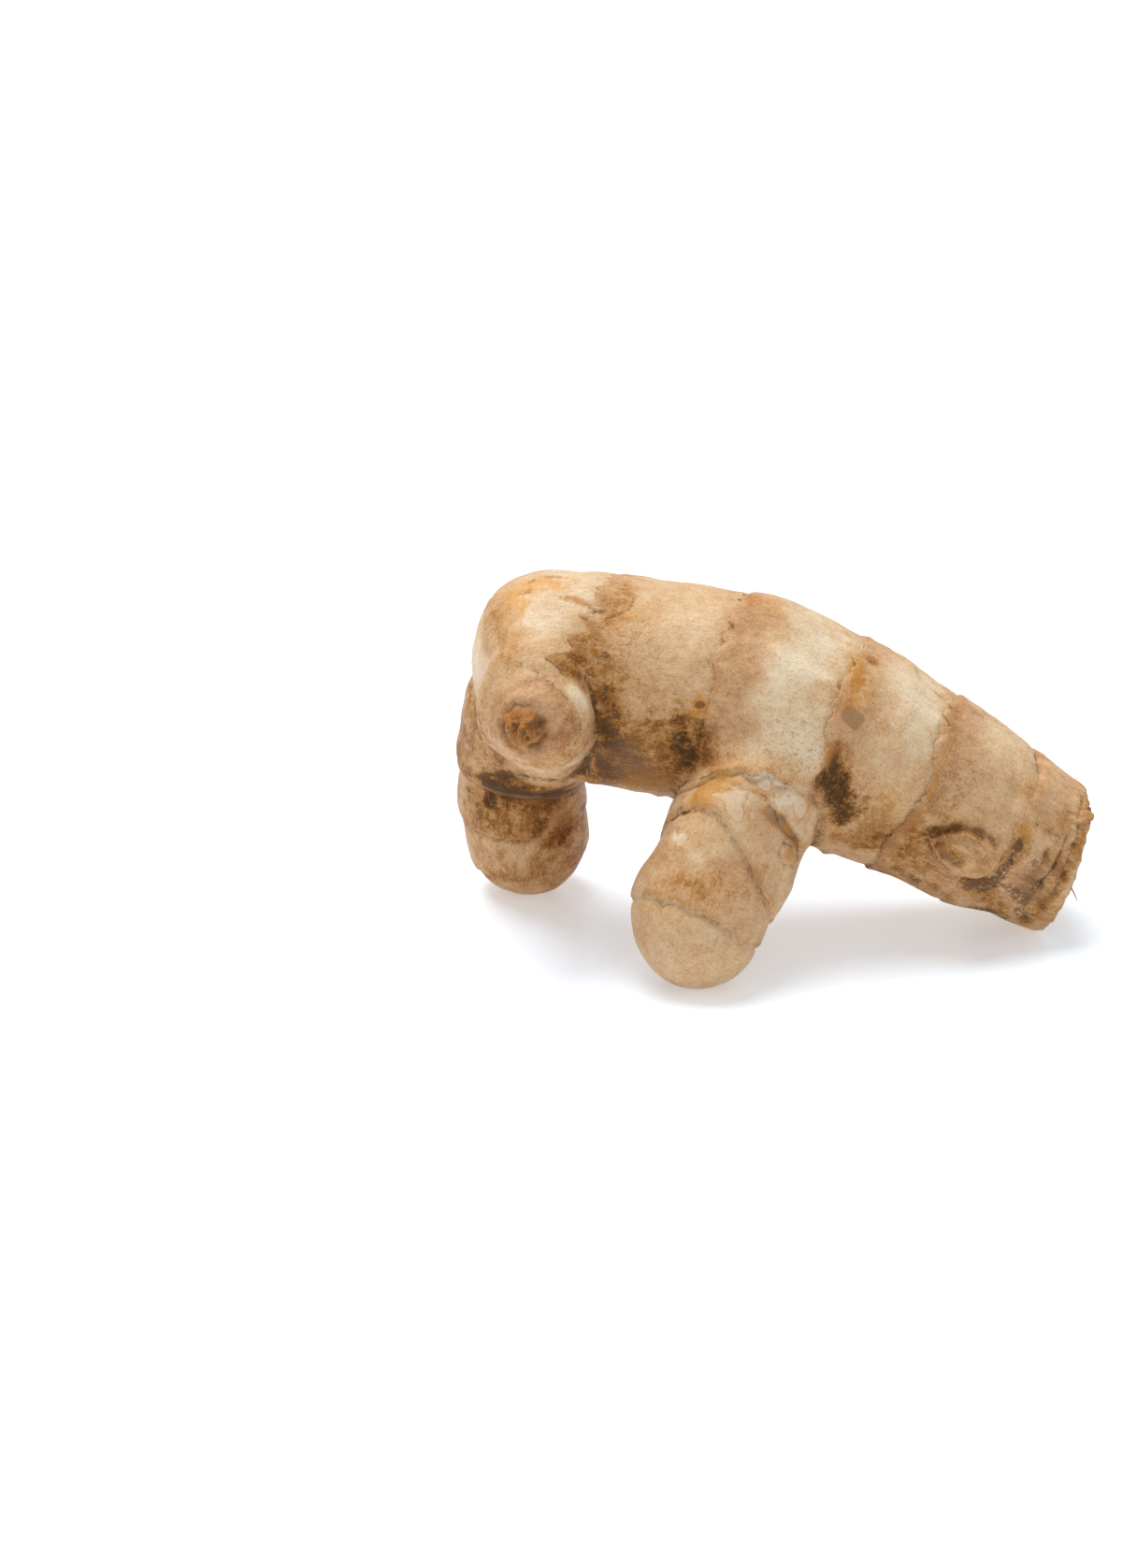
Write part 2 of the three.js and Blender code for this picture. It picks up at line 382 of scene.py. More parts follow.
def ringGap(place, ring):
    # millimetres past the torn edge, onto the old leaf base
    edge = np.interp(place["around"], turnGrid, ring["edge"], period=360)
    return (place["along"] - edge) * ring["toward"]


# how far a shoot's skin reaches over the stem's, by degrees round the shoot
claims = {
    "stem": [(0, 0)],
    "front": [(0, 2)],
    "stub": [(180, -6), (145, -5.5), (118, -1.5), (95, 0.5), (0, 0.8), (-90, 0.8), (-145, -4)],
    "lower": [(0, 0.8)],
}
claimBlend = 0.8


def limbShares(places):
    # how much each limb has to do with a point, one where it is clear of the others
    outside = np.stack([place["outside"] - byAngle(place["around"], claims[name])
                        for name, place in places.items()])
    share = np.exp(-(outside - outside.min(0)) / claimBlend)
    share /= share.sum(0)
    return dict(zip(places, share))


# raised and sunken places on each limb, as (along, round, half length, half width, height)
swellings = {
    "stem": [
        (98, 95, 7, 5.5, 1.7), (95.2, 98, 3.4, 2.4, 1), (104.3, 10, 1.6, 6, -1), (101, 62, 1.6, 9, -0.25),
        (77, 1, 1, 3.5, -0.35), (82, 9, 4.5, 0.6, -0.35), (84, 14, 3, 2.2, 0.4), (90, 4, 4.5, 0.6, -0.3),
        (116, 36, 2.5, 2.5, 0.7), (113, 75, 4, 1, -0.5), (111, 95, 4.5, 0.9, -0.45), (52, 40, 7, 10, 0.5),
        (34, 45, 8, 12, 0.45), (14, 20, 7, 12, 0.5), (92, 40, 6, 10, 0.4), (76, 45, 6, 12, 0.4),
        (41.9, 75, 1.2, 1.2, 0.25), (38, 165, 1.6, 1.6, 0.7), (58, 172, 1.5, 1.5, 0.7),
        (78, 160, 1.4, 1.4, 0.6), (84, -150, 1.5, 1.5, 0.6), (30, -120, 6, 8, 0.6), (56, -95, 9, 12, 0.9),
        (76, -70, 5, 7, 0.6), (58, -112, 3, 2.6, 1.6)],
    "front": [
        (27, -150, 5, 9, 0.9), (27, 150, 5, 8, 0.5), (37, -150, 4.5, 7, 0.9), (20.5, -112, 5.5, 8, -4.4),
        (21, -140, 2.2, 4, -1.6), (33, -100, 6, 8, -1.2), (28, -135, 4, 6, 0.6), (42, 60, 6, 12, -1.2),
        (30.2, 126, 2.2, 3, 0.6), (26, -163, 2.2, 3, -0.35), (14, 160, 6, 8, -0.6),
        (17, -150, 5, 5, -1.2), (30, -175, 5, 10, 0.5)],
    "stub": [
        (20, 178, 8, 9, -1.8), (24, 95, 5, 7, 0.7), (25, 30, 5, 7, 0.5), (27, -20, 8, 12, -1.6),
        (15.5, -8, 7, 11, -2.6), (30, -110, 5, 7, -0.7)],
}
swellingFall = 1.4
skinLumps = [(15, 0.8, 0), (6.5, 0.3, 1), (2.6, 0.1, 2), (1.3, 0.05, 4)]
endWrinkles = {"from": 98, "to": 116, "height": 0.35, "girth": 9, "stretch": 14}
rootScars = [(38, 165), (58, 172), (78, 160), (84, -150), (64, -165), (31, -160), (97, 175)]
rootScarRadius = 1.1
# the tip scar's groove and rim lie at these shares of its radius, each with a width
scar = {"at": (-47.2, -22.8, 50.0), "radius": 4.9, "crown": 1.3, "crownWidth": 8.5, "groove": 0.8,
        "grooveAt": (0.85, 0.14), "rim": 0.25, "rimAt": (1.15, 0.2), "knob": 1.5, "knobFade": (0.25, 0.8),
        "knobLumps": [(1.3, 1.2, 3), (0.6, 0.6, 7)], "stained": (0.6, 1.15), "reddened": (0.55, 0.95)}
brokenEnd = {"centre": (54.1, 5.2, 12.4), "facing": (0.94, 0.08, -0.32), "hollow": 1.3, "radius": 12.5,
             "cut": (-0.7, -0.2), "flesh": (-0.5, -0.1), "fibres": [(1.8, 0.5, 12), (0.8, 0.25, 13)],
             "smoothRim": (9.5, 12)}


def patchValue(place, along, around, halfAlong, halfAround, turn=0, drift=(0, 0), corner=2):
    # 0 at the middle of an oval patch, 1 at its edge; a higher corner makes it squarer
    u = place["along"] - along + drift[0]
    v = np.radians(turnFrom(place["around"], around)) * place["radius"] + drift[1]
    c, s = math.cos(math.radians(turn)), math.sin(math.radians(turn))
    x, y = (u * c + v * s) / halfAlong, (v * c - u * s) / halfAround
    return (abs(x) ** corner + abs(y) ** corner) ** (1 / corner)


# how deep the corner at each shoot's foot is, and how strongly it is painted with shade and soil,
# by degrees round the shoot
corners = {
    "front": [(180, 0), (150, 0), (125, 0.35), (90, 0.8), (0, 0.6), (-90, 0.8), (-130, 0.8), (-150, 0.2)],
    "stub": [(180, 0), (150, 0.25), (125, 1), (30, 1), (0, 0.6), (-60, 0.3), (-110, 0)],
    "lower": [(0, 0.7), (180, 0.7)],
}
# widths of the corner's groove, of its painted shade line and of its soil
cornerWidth = {"groove": 1.2, "crack": 0.7, "soil": 2.6}


def cornerShade(places, width):
    # one along the line where a shoot's foot meets the stem, none away from it
    shade = np.zeros(len(places["stem"]["along"]))
    for name, strengths in corners.items():
        shoot = places[name]
        apart = shoot["outside"] - places["stem"]["outside"]
        here = byAngle(shoot["around"], strengths) * bell(apart, 0, width) * (shoot["along"] > 4)
        shade = np.maximum(shade, here)
    return shade


def lineGap(place, line):
    # millimetres from each point to a line of (along, round), measured along the skin
    gap = np.full(len(place["along"]), 99.0)
    for (a, aTurn), (b, bTurn) in zip(line, line[1:]):
        scale = place["radius"] * math.pi / 180
        x = place["along"] - a
        y = turnFrom(place["around"], aTurn) * scale
        runX = b - a
        runY = (bTurn - aTurn) * scale
        t = np.clip((x * runX + y * runY) / (runX ** 2 + runY ** 2), 0, 1)
        gap = np.minimum(gap, np.hypot(x - runX * t, y - runY * t))
    return gap


def eachCrease(co, places, share):
    # for every groove: each point's distance from it in widths, the limb's say there, depth, and how
    # dark it is painted with shade and dirt
    uneven = creaseWander["amount"] * bumps(co, creaseWander["size"], 31)
    for name, limbCreases in creases.items():
        here = np.minimum(share[name] * 2.5, 1)
        for line, depth, width, dark in limbCreases:
            yield lineGap(places[name], line) / width + uneven, here, depth, dark


def endDepth(co):
    facing = np.array(brokenEnd["facing"])
    return (co - brokenEnd["centre"]) @ (facing / np.linalg.norm(facing))


def ringRise(place, limbRings):
    shape = ringShape
    rise = np.zeros(len(place["along"]))
    for ring in limbRings:
        gap = ringGap(place, ring)
        lip = ring["lip"]
        step = smoothStep(-shape["step"], shape["step"], gap)
        rise += lip * step * np.exp(-np.maximum(gap, 0) / shape["fade"])
        rise -= lip * shape["dip"] * (1 - step) * np.exp(np.minimum(gap, 0) / shape["dipFade"])
        swell = (lip + shape["swellExtra"]) * shape["swell"]
        rise += swell * bell(gap, shape["swellAt"], shape["swellWidth"])
        rise -= lip * shape["groove"] * bell(gap, shape["grooveAt"], shape["grooveWidth"])
    return rise


def scarHeight(co):
    # the tip scar on the stub's face: a crown, a broken groove with a rim, and a rough knob
    away = np.linalg.norm(co - scar["at"], axis=1) / scar["radius"]
    height = scar["crown"] * bell(away * scar["radius"], 0, scar["crownWidth"])
    away = away + 0.18 * bumps(co, 1.8, 9)
    patchy = np.clip(0.8 + 2.2 * bumps(co, 3.5, 14), 0, 1.6)
    height -= scar["groove"] * bell(away, *scar["grooveAt"]) * patchy
    height += scar["rim"] * bell(away, *scar["rimAt"])
    knob = scar["knob"] * (1 + bumpSum(co, *scar["knobLumps"]))
    return height + knob * (1 - smoothStep(*scar["knobFade"], away))


def skinHeight(co, places, share):
    # how far each point of the skin moves outwards, in millimetres
    height = bumpSum(co, *skinLumps)
    for name, limbRings in rings.items():
        height += ringRise(places[name], limbRings) * share[name]
    for name, limbSwellings in swellings.items():
        for *patch, rise in limbSwellings:
            away = patchValue(places[name], *patch)
            height += rise * np.exp(-swellingFall * away ** 2) * share[name]
    height -= cornerShade(places, cornerWidth["groove"])
    for away, here, depth, dark in eachCrease(co, places, share):
        height -= depth * bell(away, 0, 1) * here
        height += creaseRim["height"] * depth * bell(away, creaseRim["at"], creaseRim["width"]) * here
    stem = places["stem"]
    turn = np.radians(stem["around"])
    girth = endWrinkles["girth"]
    ribs = np.stack([np.cos(turn) * girth, np.sin(turn) * girth, stem["along"] / endWrinkles["stretch"]], 1)
    wrinkled = smoothStep(endWrinkles["from"], endWrinkles["to"], stem["along"]) * share["stem"]
    height += wrinkled * endWrinkles["height"] * (abs(bumps(ribs, 1.1, 6)) * 2 - 0.5)
    height += scarHeight(co)
    cut = smoothStep(*brokenEnd["cut"], endDepth(co))
    hollow = brokenEnd["hollow"] * (1 - smoothStep(0.1, 0.95, stem["radius"] / brokenEnd["radius"]))
    fibres = bumpSum(co, *brokenEnd["fibres"])
    fibres *= 1 - 0.8 * smoothStep(*brokenEnd["smoothRim"], stem["radius"])
    return height * (1 - cut) + cut * (fibres - hollow)


skinCo = meshPoints(skin.data)
places = {name: findPlace(skinCo, limb) for name, limb in limbs.items()}
share = limbShares(places)
height = skinHeight(skinCo, places, share)
restLevel = {"flat": 0.05, "free": 0.75}  # the skin stays flat where it rests on the floor
height *= smoothStep(restLevel["flat"], restLevel["free"], skinCo[:, 2])
skinNow = skinCo + meshVectors(skin.data, "normal") * height[:, None]
skinNow[:, 2] = np.maximum(skinNow[:, 2], 0)
moveMesh(skin.data, skinNow)
print("skin is sculpted, from", round(float(height.min()), 2), "to", round(float(height.max()), 2), "mm")

# Stains and patches by kind and limb, as (along, round, half length, half width, strength). One that lies
# askew has its turn in degrees before the strength. The leaf kinds show only past a torn edge.
stains = {
    "cream": {
        "stem": [
            (14.5, 36, 6, 8, 0.8), (17, 4, 7, 9, 0.6), (35, 4, 11, 12, 0.35), (38, 38, 8, 8, 0.2),
            # the cream patch at 60 along and 74 round is partly a painted highlight on the neck
            (55, 45, 5.5, 13, 12, 1), (58, 8, 8, 9, 0.7), (60, 74, 5, 8, 0.8), (76, 18, 8, 9, 0.85),
            (79, 42, 5, 9, 0.6), (96, 18, 8, 9, 0.6), (108, 20, 4, 7, 0.35), (55, 92, 5, 7, 0.9),
            (36, -60, 12, 12, 0.7), (60, -60, 9, 12, 0.8), (80, -70, 8, 10, 0.6), (3, 60, 6, 10, 0.6),
            (97, -80, 6, 10, 0.4), (57, 150, 7, 9, 0.35)],
        "front": [
            (14, 165, 5, 8, 0.6), (24.5, 152, 3, 4, 0.8), (18, 178, 4, 5, 0.4), (22, 150, 1.6, 3.6, 0.9),
            (21.5, 170, 1.3, 3, 0.9), (26, 178, 2, 5, 0.5), (35.5, -142, 1.2, 1.6, 1),
            (39, -165, 2.5, 2, 0.7)],
        "stub": [
            (24.5, 120, 3, 3.5, 0.95), (23.5, 98, 3.6, 3, 0.45), (19, -150, 5, 7, 0.4),
            (20, 172, 5, 6, 0.35), (18, 150, 6, 6, 0.5)],
        "lower": [(24, 80, 4, 6, 0.3), (27, 66, 5, 1.6, 30, 0.7), (31, 84, 4, 1.3, 30, 0.6)],
    },
    "papery": {
        "stem": [
            (49, 45, 4, 16, 0.75), (48, 80, 4, 8, 0.7), (69, 60, 4, 8, 0.3), (88, 30, 4, 14, 0.75),
            (90, 60, 5, 8, 0.55), (107, 40, 4, 12, 0.6), (112, 98, 7, 8, 0.6), (97, 104, 6, 7, 0.5),
            (46, 10, 6, 8, 0.5), (66, 70, 5, 8, 0.3), (31, 118, 8, 8, 0.4)],
        "front": [(16, 178, 4, 9, 0.6), (28, 150, 5, 7, 0.55), (37, 160, 4, 7, 0.5)],
        "stub": [(30.5, 0, 5, 14, 0.8), (30.5, 180, 5, 14, 0.65), (27.5, 150, 4, 8, 0.3)],
    },
    "brown": {
        "stem": [
            (26, 60, 3.5, 3.5, 0.2), (27.5, 88, 3.5, 6, 0.45), (38, 84, 5.5, 4.5, 0.65),
            (35, 80, 5, 5, 0.4), (40.4, 79, 2.6, 3, 0.4), (14.6, 26, 2.6, 2.6, 0.3),
            (108, 126, 4, 3, 0.7), (34.5, 86, 4, 5, 0.4), (41, 85, 3, 3.5, 0.5), (31, 68, 4, 6, 0.25),
            (32, 100, 8, 6, 0.65), (29, 122, 6, 8, 0.55), (41, 102, 5, 7, 0.65), (36, 130, 9, 7, 0.6),
            (43.5, 124, 5, 6, 0.5), (33, 110, 6, 5, 0.5), (70, 112, 5, 6, 0.3), (80, 108, 4, 6, 0.4),
            (67, 18, 1.6, 1.6, 0.9), (66, 78, 1.6, 2, 0.8), (77, 102, 5, 5, 0.35), (90, 112, 7, 6, 0.35),
            (88, 100, 4, 4, 0.3), (70, 101, 6, 7, 0.65), (24, 64, 3, 3, 0.35), (84, 118, 5, 4, 0.6),
            (79, 125, 7, 4, 0.55), (72, 125, 6, 5, 0.3), (112.5, 101, 5, 4, 30, 0.6),
            (114.5, 82, 2.6, 5, 0.7), (106, 76, 2.6, 3, 30, 0.6), (112, 60, 3.5, 6, 0.4),
            (7, 30, 4, 10, 0.55), (9.5, 56, 3.5, 7, 0.5), (117, 30, 2, 20, 0.7), (117, 100, 2, 16, 0.8),
            (117, -90, 3, 24, 0.7), (94.6, 98, 3, 2.6, 1), (99, 94, 4, 4, 0.4), (94.5, 84, 5, 1.6, 0.65),
            (104, 116, 5, 3.4, 0.8), (106, 96, 3, 6, 0.6), (92, 92, 4, 1.6, -30, 0.7),
            (27, 78, 3, 5, 0.6), (26.6, 108, 2, 6, 0.5), (50, -110, 6, 9, 0.6), (26, -70, 4, 10, 0.7),
            (70, -110, 5, 9, 0.6), (90, -60, 4, 10, 0.6), (60, -160, 8, 9, 0.6), (95, 160, 8, 9, 0.55),
            (20, 160, 8, 9, 0.6)],
        "front": [
            (26, -160, 2.6, 3, 20, 0.7), (29.5, -156, 1.5, 2.2, 0.9), (38, 150, 5, 8, 0.35),
            (21.8, -152, 2, 2.2, 0.8), (30.2, 126, 1.4, 1.8, 0.5), (28, 100, 6, 5, 0.5),
            (26.4, 146, 1.7, 5.5, 0.9), (26.8, 122, 1.6, 4, 0.8), (42, 180, 4, 12, 0.5),
            (30, 0, 6, 9, 0.6), (40, -60, 5, 8, 0.5)],
        # on the stub, the brown at -70, 0 and -130 round, its lower left, is partly painted shade on its
        # shaded side
        "stub": [
            (28, 60, 5, 8, 0.35), (27, 20, 5, 8, 0.5), (24, 60, 4, 6, 0.3), (30, 150, 4, 6, 0.15),
            (28, -100, 4, 6, 0.5), (21, 78, 5, 5, 0.4), (21, -70, 6, 10, 0.6), (21, 0, 6, 9, 0.5),
            (23, -130, 4, 5, 0.3)],
        # the lower shoot's brown is partly painted shade under the stub
        "lower": [
            (20, 70, 9, 8, 0.8), (22, 115, 6, 7, 0.8), (14, 90, 7, 9, 0.8), (30, 60, 4, 6, 0.7),
            (36, -90, 5, 9, 0.6), (22, -120, 4, 7, 0.6)],
    },
    "leafBrown": {
        "stem": [
            (24, 0, 3.5, 6, 0.35), (24, 25, 3.5, 6, 0.5), (22.2, 45, 3, 4, 0.4), (18.6, 66, 3.8, 2.6, 1),
            (21, 70, 4, 4, 1), (20.5, 60, 3, 4, 0.9), (25, 78, 5, 5, 0.6), (85.5, 40, 2.4, 5, 0.4),
            (86.5, 60, 2.4, 4, 0.45), (88, 75, 2, 3, 0.4), (86, 98, 2, 4, 0.5), (85, 22, 2, 3, 0.4),
            (66, 25, 2.5, 4, 0.4), (66.5, 78, 3, 4, 0.8), (66, 92, 3, 4, 0.6), (49, 15, 3, 6, 0.3),
            (47.5, 60, 2.5, 8, 0.25), (46, 85, 2, 5, 0.3), (106, 20, 2, 5, 0.3), (90, -60, 4, 12, 0.7),
            (70, -50, 4, 12, 0.6), (52, -70, 4, 12, 0.6), (30, -60, 4, 12, 0.7), (88, 150, 4, 9, 0.6),
            (70, 160, 4, 9, 0.6)],
        "front": [(22, 168, 2, 5, 0.6)],
        "lower": [(16, 90, 4, 8, 0.7), (27, 60, 3, 8, 0.6)],
    },
    "leafRust": {
        "stem": [
            (65, 35, 1.8, 4, 0.95), (65, 50, 1.5, 3, 0.7), (65.5, 80, 1.6, 3, 0.8),
            (64.8, 20, 1.5, 3, 0.6), (84.6, 45, 1.5, 3, 0.6), (86.2, 70, 1.3, 3, 0.8),
            (86.3, 92, 1, 5, 0.8), (85.6, 107, 0.9, 4, 0.8), (47.5, 4, 2, 4, 0.7), (46.5, 40, 1, 6, 0.4),
            (45.5, 75, 1, 5, 0.3), (22.5, 5, 1.5, 4, 0.5), (20.5, 45, 1, 3, 0.5), (68, -80, 2, 5, 0.7),
            (89, -70, 2, 6, 0.6), (48, -120, 2, 6, 0.6)],
        "front": [(21.6, 165, 1.5, 6, 0.7), (24, -158, 1.2, 4, 0.6)],
    },
    "gold": {
        "stem": [
            (13.2, 12, 5.5, 3, 20, 0.95), (11, 25, 2.6, 4, 0.95), (26, 40, 4, 6, 0.3),
            (105.8, 68, 1.6, 2.4, 0.5), (64, 30, 2, 5, 0.8), (42, 78, 2.6, 2.8, 0.8), (66, 45, 3, 8, 0.5),
            (80, 85, 5, 7, 0.4), (30, 30, 6, 5, 0.35), (10, 45, 4, 6, 0.25), (107, 62, 2, 4, 0.3),
            (50, 4, 4, 5, 0.35), (40, 140, 12, 9, 0.5), (62, -130, 8, 9, 0.5)],
        "front": [
            (24.6, 172, 1.2, 4, 0.6), (28.4, -158, 2, 3, 0.8), (25, -165, 4, 5, 0.8),
            (29, -150, 4, 5, 0.6), (17, 175, 5, 9, 0.5), (30.2, 127, 1.7, 1.4, 0.9)],
        "lower": [(26, 40, 5, 6, 0.4)],
    },
    "rust": {
        "stem": [
            (15.4, 5, 2.2, 1, 20, 0.9), (12.1, 18, 1.7, 1.4, 0.95), (13.2, 7, 0.7, 1.4, 0.9),
            (41.7, 76, 2, 2, 1), (18.2, 28, 2.4, 1.1, 20, 0.95), (9.5, 30, 1.2, 3, 0.6),
            (30, 50, 1.2, 2, 0.5), (36, 64, 1.5, 1, 0.5), (90.2, 47, 1.2, 1.2, 0.6),
            (107, 60, 1.3, 1.1, 0.75), (49.5, 2, 3.5, 5, 0.25), (46, -120, 2, 5, 0.6)],
        "front": [
            (25.9, -170, 0.9, 0.9, 1), (22.6, -172, 3, 0.8, 0.6), (28.2, -152, 2.4, 2.2, 0.7),
            (30.2, 127, 1.6, 1.3, 0.5), (19, 178, 2.5, 8, 0.4)],
        "lower": [(19, 70, 2, 5, 0.5)],
    },
    "red": {
        "front": [
            (34.5, -142, 1.3, 1.2, 0.7), (24, 178, 0.5, 0.5, 0.8), (27.6, -178, 0.5, 0.5, 0.7),
            (29, 150, 3, 4, 0.3)],
        "stub": [
            (30, 0, 4, 12, 0.16), (30, 180, 4, 12, 0.14), (28, 60, 3, 6, 0.3), (28.5, 110, 1, 5, 0.4),
            (29, 92, 2.4, 3.4, 0.5), (28, 160, 2, 4, 0.4)],
        "lower": [
            (18.5, 80, 1.5, 4, 0.6), (24, 100, 5, 8, 0.35), (30, 62, 5, 1, 20, 0.7),
            (32, 76, 5, 0.8, 20, 0.6)],
    },
    "soil": {
        "stem": [
            (43, 90, 2, 2.2, 0.65), (39.4, 97, 2, 3, 0.75), (41.5, 108, 2, 3.4, 0.8),
            (25.4, 117, 0.9, 3, 0.6), (25.6, 96, 1.1, 2, 0.75), (41.6, 126, 2, 2, 0.55),
            (38.4, 86, 1.5, 1.5, 0.6), (40, 102, 4.5, 6, 0.2), (66.8, 92, 2.2, 2.8, 0.85),
            (95, 98, 3, 2.6, 0.35), (68, 99, 3.6, 4.4, 1.1), (71, 95, 2.8, 3.4, 0.9),
            (74.4, 113.5, 2, 1.9, 1.3), (75.4, 106, 1.6, 1.6, 0.7), (75, 96, 2.4, 3, 0.55),
            (72, 106, 3, 3.4, 0.8), (113, 104, 3, 2.6, 40, 0.4), (66.4, 81, 1.2, 1.6, 0.6),
            (52, -125, 4, 5, 0.7), (85, -120, 3, 5, 0.7), (110, 160, 4, 7, 0.7), (34, 175, 4, 5, 0.7)],
        "front": [(22, -151, 1.4, 1.6, 0.8), (34, 20, 4, 6, 0.7), (20, 60, 3, 4, 0.6)],
        # the lower shoot's soil near its foot is partly painted shade under the stub
        "lower": [
            (15, 105, 4, 6, 0.7), (14, 60, 5, 6, 0.6), (20.5, 118, 1.8, 1.8, 0.9), (19, 80, 3, 9, 0.3)],
    },
    "peel": {
        "front": [
            (27.4, -177, 2.6, 3.6, 1), (22.6, 172, 1.7, 2.3, 0.95), (21.7, 142, 2.1, 5.2, 10, 0.95),
            (36, -148, 1.6, 1.5, 1), (28.5, 168, 0.9, 0.6, 0.9)],
    },
    "scab": {
        "stem": [
            (102.8, 117, 3.6, 2.3, 8, 1), (106, 119, 2.4, 2.1, 1), (105.6, 107, 2, 3, 1),
            (105.8, 94, 1.4, 2.6, 0.9), (109, 110, 2.2, 1.6, 0.7), (105.4, 79, 1.3, 2.4, 0.85),
            (112.6, 115, 2.2, 2, 0.8), (115.4, 126, 2.2, 2.2, 0.85), (110.2, 108, 1.6, 1.4, 0.6),
            (113.6, 97, 1.4, 2.2, 0.7), (111.2, 83, 2.4, 1.4, 0.7), (115.5, 134, 1.8, 1.6, 0.8),
            (117, 80, 0.5, 1.7, 0.75), (116.4, 26, 0.7, 1.8, 0.7), (24, 58, 1.2, 1.2, 0.8),
            (21.2, 71, 1.6, 1.4, 0.7), (20.6, 34, 0.9, 1, 0.7), (26.2, 96, 1.3, 1.8, 1),
            (25.9, 113, 1.2, 2.2, 1), (27.6, 90, 1.6, 1.2, 0.8), (28, 101, 1.2, 1.6, 0.7),
            (25.2, 78, 0.8, 1.6, 0.6), (94, 140, 2.5, 2, 0.7), (70, -118, 2.4, 2, 0.8),
            (48, -100, 1.6, 2.4, 0.7), (112, -110, 2.2, 2.6, 0.8)],
        "front": [(33, -20, 2, 2, 0.7)],
        "lower": [(14, 78, 2.4, 2, 0.8), (27.5, 20, 1.6, 2.4, 0.7)],
    },
    "stipple": {
        "stem": [
            (60, 88, 7, 8, 0.7), (88, 62, 6, 10, 0.6), (28, 60, 5, 8, 0.6), (66, 90, 5, 6, 0.8),
            (40, 120, 9, 9, 0.7)],
        "front": [(16, 178, 6, 10, 1)],
    },
    "dot": {
        "stem": [
            (41.9, 76, 1.1, 1.1, 1), (35.9, 81, 0.6, 0.35, 0.9), (37.4, 72, 0.5, 0.3, 0.8),
            (41.1, 58, 0.5, 0.35, 0.7), (21.6, 33, 1, 0.8, 0.8), (44, 92, 0.5, 0.5, 0.6),
            (30, 84, 0.45, 0.4, 0.5), (92, 30, 0.5, 0.4, 0.6), (80, 66, 0.5, 0.4, 0.5),
            (107, 60, 1.2, 0.8, 10, 0.7), (60, -90, 0.8, 0.8, 0.8), (76, -120, 1, 0.7, 0.8),
            (28, -40, 0.8, 0.7, 0.8)],
        "front": [(18.4, 171, 0.8, 0.7, 30, 0.7), (26.6, -177, 0.4, 0.4, 0.7)],
    },
    "bruise": {
        "stem": [(66.4, 58, 2.5, 1.9, 15, 0.9), (94.2, 99.5, 2.2, 1.6, 0.7), (44, -60, 3, 3, 0.45)],
        "front": [(26.4, 150, 1.5, 4.5, 0.62), (26.6, 122, 1.4, 3.5, 0.58)],
    },
}
# how pale or dark the skin is, from 0 to 1, with what each kind of stain adds; under is not a stain but
# painted shade on the underside
plainTone = 0.375
toneParts = {"cream": -0.29, "papery": 0.1, "under": 0.26, "brown": 0.26, "gold": 0.04, "soil": 0.3,
             "scarred": 0.3, "farEnd": 0.04}
bandParts = {"paperBand": 0.1, "brownBand": 0.11, "leafBrown": 0.21}  # the same, past a torn edge only
toneDrift = {"stain": 0.0167, "cloud": (11, 0.04, 25), "parts": 0.12}  # uneven skin
toneOnly = {"under", "farEnd", *bandParts}  # masks that the material doesn't read by themselves
# how far a patch's outline strays, along and across, and less on a small patch
wander = {"along": [(5, 2.2, 20), (1.9, 0.9, 21)], "across": [(5, 2.2, 22), (1.9, 0.9, 23)],
          "small": 0.25, "smallPatch": 2}
patchCorner = {"stain": 2, "bruise": 6}
# painted shade: the skin is darker on the stem's underside, from 70 to 125 degrees round, on the front
# shoot's underside and over the lower shoot
undersideShade = {"from": 70, "to": 125, "lower": 0.7, "front": 0.6}


def spread(values, start, end, rounds):
    # each point's value is averaged with its neighbours'
    count = len(values)
    degree = np.bincount(start, minlength=count) + np.bincount(end, minlength=count)
    for step in range(rounds):
        total = np.bincount(start, values[end], count) + np.bincount(end, values[start], count)
        values = total / degree
    return values


def cavities(mesh, reach):
    # how deep each point lies below the skin around it, in millimetres
    edges = np.empty(len(mesh.edges) * 2, np.int32)
    mesh.edges.foreach_get("vertices", edges)
    start, end = edges.reshape(-1, 2).T
    co = meshPoints(mesh)
    around = np.stack([spread(co[:, axis], start, end, reach) for axis in range(3)], 1)
    return ((around - co) * meshVectors(mesh, "normal")).sum(1)


def stainMasks(co, places, share, wide):
    masks = {}
    fine = [values * wander["small"] for values in wide]
    for kind, limbPatches in stains.items():
        corner = patchCorner.get(kind, patchCorner["stain"])
        clear = np.ones(len(co))
        for name, patches in limbPatches.items():
            for *patch, strength in patches:
                drift = wide if min(patch[2:4]) > wander["smallPatch"] else fine
                away = patchValue(places[name], *patch, drift=drift, corner=corner)
                clear *= 1 - np.clip(strength * (1 - smoothStep(0.3, 1.25, away)) * share[name], 0, 1)
        masks[kind] = 1 - clear
    return masks


